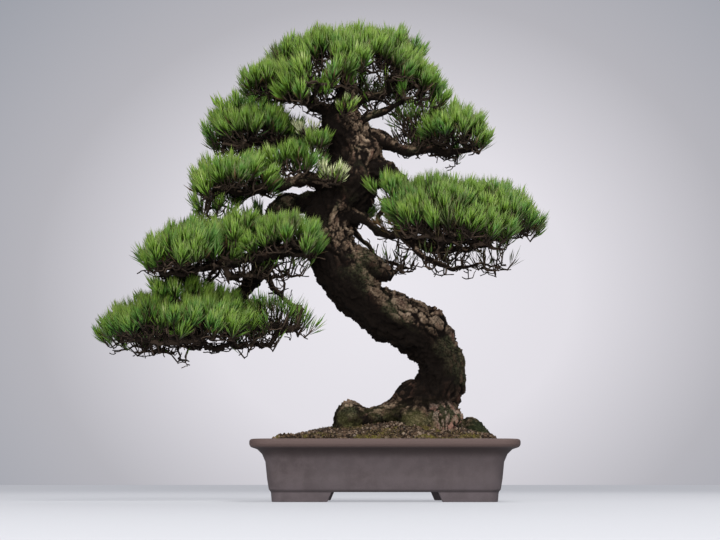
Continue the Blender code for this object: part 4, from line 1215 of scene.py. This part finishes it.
def make_soil(finish):
    """The bed of soil: rings up the pot's inner wall, then inwards over the mound."""
    bottom = FLOOR_TOP + SOIL_GAP
    rings = []
    for height in (bottom, 60.0, SOIL_EDGE_HEIGHT - 2):
        outline = rounded_rectangle(inner_inset(height) + SOIL_GAP)
        rings.append(np.hstack([outline, np.full((len(outline), 1), height)]))
    outline = rounded_rectangle(inner_inset(SOIL_EDGE_HEIGHT) + SOIL_GAP)
    for share in np.linspace(1.0, 0.02, SOIL_RINGS):
        ring = outline * share
        rings.append(np.column_stack([ring, soil_surface(ring[:, 0], ring[:, 1])]))
    top = float(soil_surface(np.zeros(1), np.zeros(1))[0])
    points = np.vstack([*rings, (0, 0, bottom), (0, 0, top)])
    mesh = mesh_of("soil_bed", points, ring_faces(len(rings), len(outline)))
    piece("soil_bed", mesh, finish, "soil", "soil")


def soil_finish():
    soil = Finish("moss and soil", Roughness=0.95, Specular_IOR_Level=0.15)
    patch = soil.noise(26.0, 4.0, 0.55)
    grain = soil.noise(420.0, 4.0, 0.7)
    crumbs = soil.cells(230.0, output="Color")
    crumb = soil.node("ShaderNodeSeparateColor", {}, {"Color": crumbs})
    earth = soil.ramp(crumb, [(0.0, (0.008, 0.005, 0.003)), (0.45, (0.030, 0.018, 0.010)),
                              (0.75, (0.070, 0.043, 0.023)), (1.0, (0.125, 0.092, 0.062))])
    moss = soil.ramp(grain, [(0.25, (0.020, 0.018, 0.005)), (0.5, (0.080, 0.066, 0.014)),
                             (0.75, (0.200, 0.150, 0.035))])
    soil.set("Base Color", soil.mix(patch.step(0.5, 0.62), earth, moss))
    soil.bump(grain * 0.6 + soil.cells(230.0).step(0.0, 0.7) * 0.8, 0.003, 1.0)
    return soil.material


def scattered(count, draw):
    """Random places inside the pot's mouth."""
    inset = inner_inset(SOIL_EDGE_HEIGHT) + 4
    half_length, half_depth = RIM_HALF_LENGTH - inset, RIM_HALF_DEPTH - inset
    x = draw.uniform(-1, 1, count) * half_length * MOUTH_REACH
    y = draw.uniform(-1, 1, count) * half_depth * MOUTH_REACH
    corner = np.hypot(np.maximum(np.abs(x) - (half_length - MOUTH_CORNER), 0),
                      np.maximum(np.abs(y) - (half_depth - MOUTH_CORNER), 0))
    keep = corner < MOUTH_CORNER
    return x[keep], y[keep]


def moss_share(x, y):
    """How likely moss grows at a place."""
    spots = np.stack([x, y, np.zeros_like(x)], axis=1)
    return smooth_step(fractal(spots, (60, 60, 1), 77, 3), -0.25, 0.35)


def make_grains(finish):
    """Loose crumbs of soil on the bed."""
    draw = np.random.default_rng(GRAIN_SEED)
    x, y = scattered(GRAINS, draw)
    keep = draw.uniform(0, 1, len(x)) > 0.75 * moss_share(x, y)
    x, y = x[keep], y[keep]
    form = bmesh.new()
    bmesh.ops.create_icosphere(form, subdivisions=1, radius=1.0)
    ball = np.array([v.co for v in form.verts])
    corners = np.array([[v.index for v in f.verts] for f in form.faces])
    form.free()
    size = draw.uniform(1.2, 3.1, (len(x), 1, 1)) * draw.uniform(0.7, 1.2, (len(x), 1, 3))
    rough = 1 + draw.uniform(-0.22, 0.22, (len(x), len(ball), 1))
    spots = np.stack([x, y, soil_surface(x, y) + 0.4], axis=1)
    points = (spots[:, None] + size * rough * ball[None]).reshape(-1, 3)
    faces = (len(ball) * np.arange(len(x))[:, None, None] + corners[None]).reshape(-1, 3)
    mesh = mesh_of("soil_grains", points, faces, smooth=False)
    tint = np.repeat(draw.uniform(0, 1, len(x)), len(ball))
    tinted_map(mesh, faces, tint, np.tile(0.5 + 0.5 * ball[:, 2], len(x)))
    piece("soil_grains", mesh, finish, "soil")


def grain_finish():
    grain = Finish("soil crumbs", Roughness=0.95, Specular_IOR_Level=0.2)
    grain.set("Base Color", grain.ramp(grain.on_map("X"), [
        (0.0, (0.006, 0.004, 0.003)), (0.4, (0.028, 0.017, 0.010)), (0.7, (0.088, 0.054, 0.032)),
        (0.92, (0.190, 0.140, 0.100)), (1.0, (0.050, 0.048, 0.046))]))
    return grain.material


def make_moss(finish):
    """Short moss leaves on the soil."""
    draw = np.random.default_rng(MOSS_SEED)
    x, y = scattered(MOSS_LEAVES, draw)
    keep = draw.uniform(0, 1, len(x)) < moss_share(x, y)
    x, y = x[keep], y[keep]
    spots = np.stack([x, y, soil_surface(x, y) - 0.6], axis=1)
    count = len(spots)
    ways = unit(np.stack([draw.normal(0, 0.4, count), draw.normal(0, 0.4, count), np.ones(count)], axis=1))
    lengths = draw.uniform(2.2, 4.6, count)
    mesh = needle_mesh("moss_leaves", spots, ways, lengths, draw.uniform(0, 1, count), draw)
    piece("moss_leaves", mesh, finish, "soil")


def moss_finish():
    moss = Finish("moss", Roughness=0.85, Specular_IOR_Level=0.2)
    moss.set("Base Color", moss.ramp(moss.on_map("X"), [
        (0.0, (0.010, 0.008, 0.003)), (0.4, (0.034, 0.025, 0.008)), (0.75, (0.095, 0.066, 0.022)),
        (1.0, (0.220, 0.150, 0.065))]))
    return moss.material


# Stage


def make_floor():
    form = bmesh.new()
    bmesh.ops.create_circle(form, cap_ends=True, segments=64, radius=FLOOR_RADIUS * MM)
    floor = shown("floor", mesh_from(form, "floor"))
    pale = Finish("pale floor", Roughness=0.9, Base_Color=(0.16, 0.16, 0.165),
                  Emission_Color=(0.38, 0.385, 0.415), Emission_Strength=1.0)
    floor.data.materials.append(pale.material)


def make_backdrop():
    """A pale glow behind the tree that darkens all round."""
    world = bpy.data.worlds.new("studio")
    world.use_nodes = True
    sky = Nodes(world.node_tree)
    seen = sky.node("ShaderNodeTexCoord", output="Generated")
    away = sky.vectors("SUBTRACT", "Vector", seen, BRIGHT_WAY)
    flat = sky.vectors("MULTIPLY", "Vector", away, (1.0, 1.0, 1.22))
    tone = sky.ramp(sky.vectors("LENGTH", "Value", flat).between(0.0, 0.42), [
        (0.0, (0.83, 0.81, 0.86)), (0.33, (0.76, 0.74, 0.79)), (0.62, (0.468, 0.463, 0.50)),
        (0.9, (0.345, 0.36, 0.405)), (1.0, (0.31, 0.325, 0.365))])
    sky.feed(sky.nodes["Background"].inputs["Color"], tone)
    bpy.context.scene.world = world
    bpy.context.scene.view_settings.view_transform = "Standard"


def make_lights():
    for name, spot, size, power in LIGHTS:
        lamp = bpy.data.lights.new(name, "AREA")
        lamp.shape = "DISK"
        lamp.size = size * MM
        lamp.energy = power
        holder = shown(name, lamp)
        holder.location = placed(spot)
        aim = Vector(placed(LIGHT_AIM)) - holder.location
        holder.rotation_euler = aim.to_track_quat("-Z", "Y").to_euler()


def make_camera():
    lens = bpy.data.cameras.new("camera")
    lens.lens = CAMERA_LENS
    lens.sensor_width = CAMERA_SENSOR
    camera = shown("camera", lens)
    camera.location = placed(CAMERA_PLACE)
    camera.rotation_euler = (CAMERA_TILT, 0.0, 0.0)
    bpy.context.scene.camera = camera


make_camera()
make_floor()
make_backdrop()
make_lights()
bark = bark_finish()
make_trunk(bark)
make_limbs(bark)
make_foliage(needle_finish(), twig_finish())
make_pot(clay_finish())
make_soil(soil_finish())
make_grains(grain_finish())
make_moss(moss_finish())
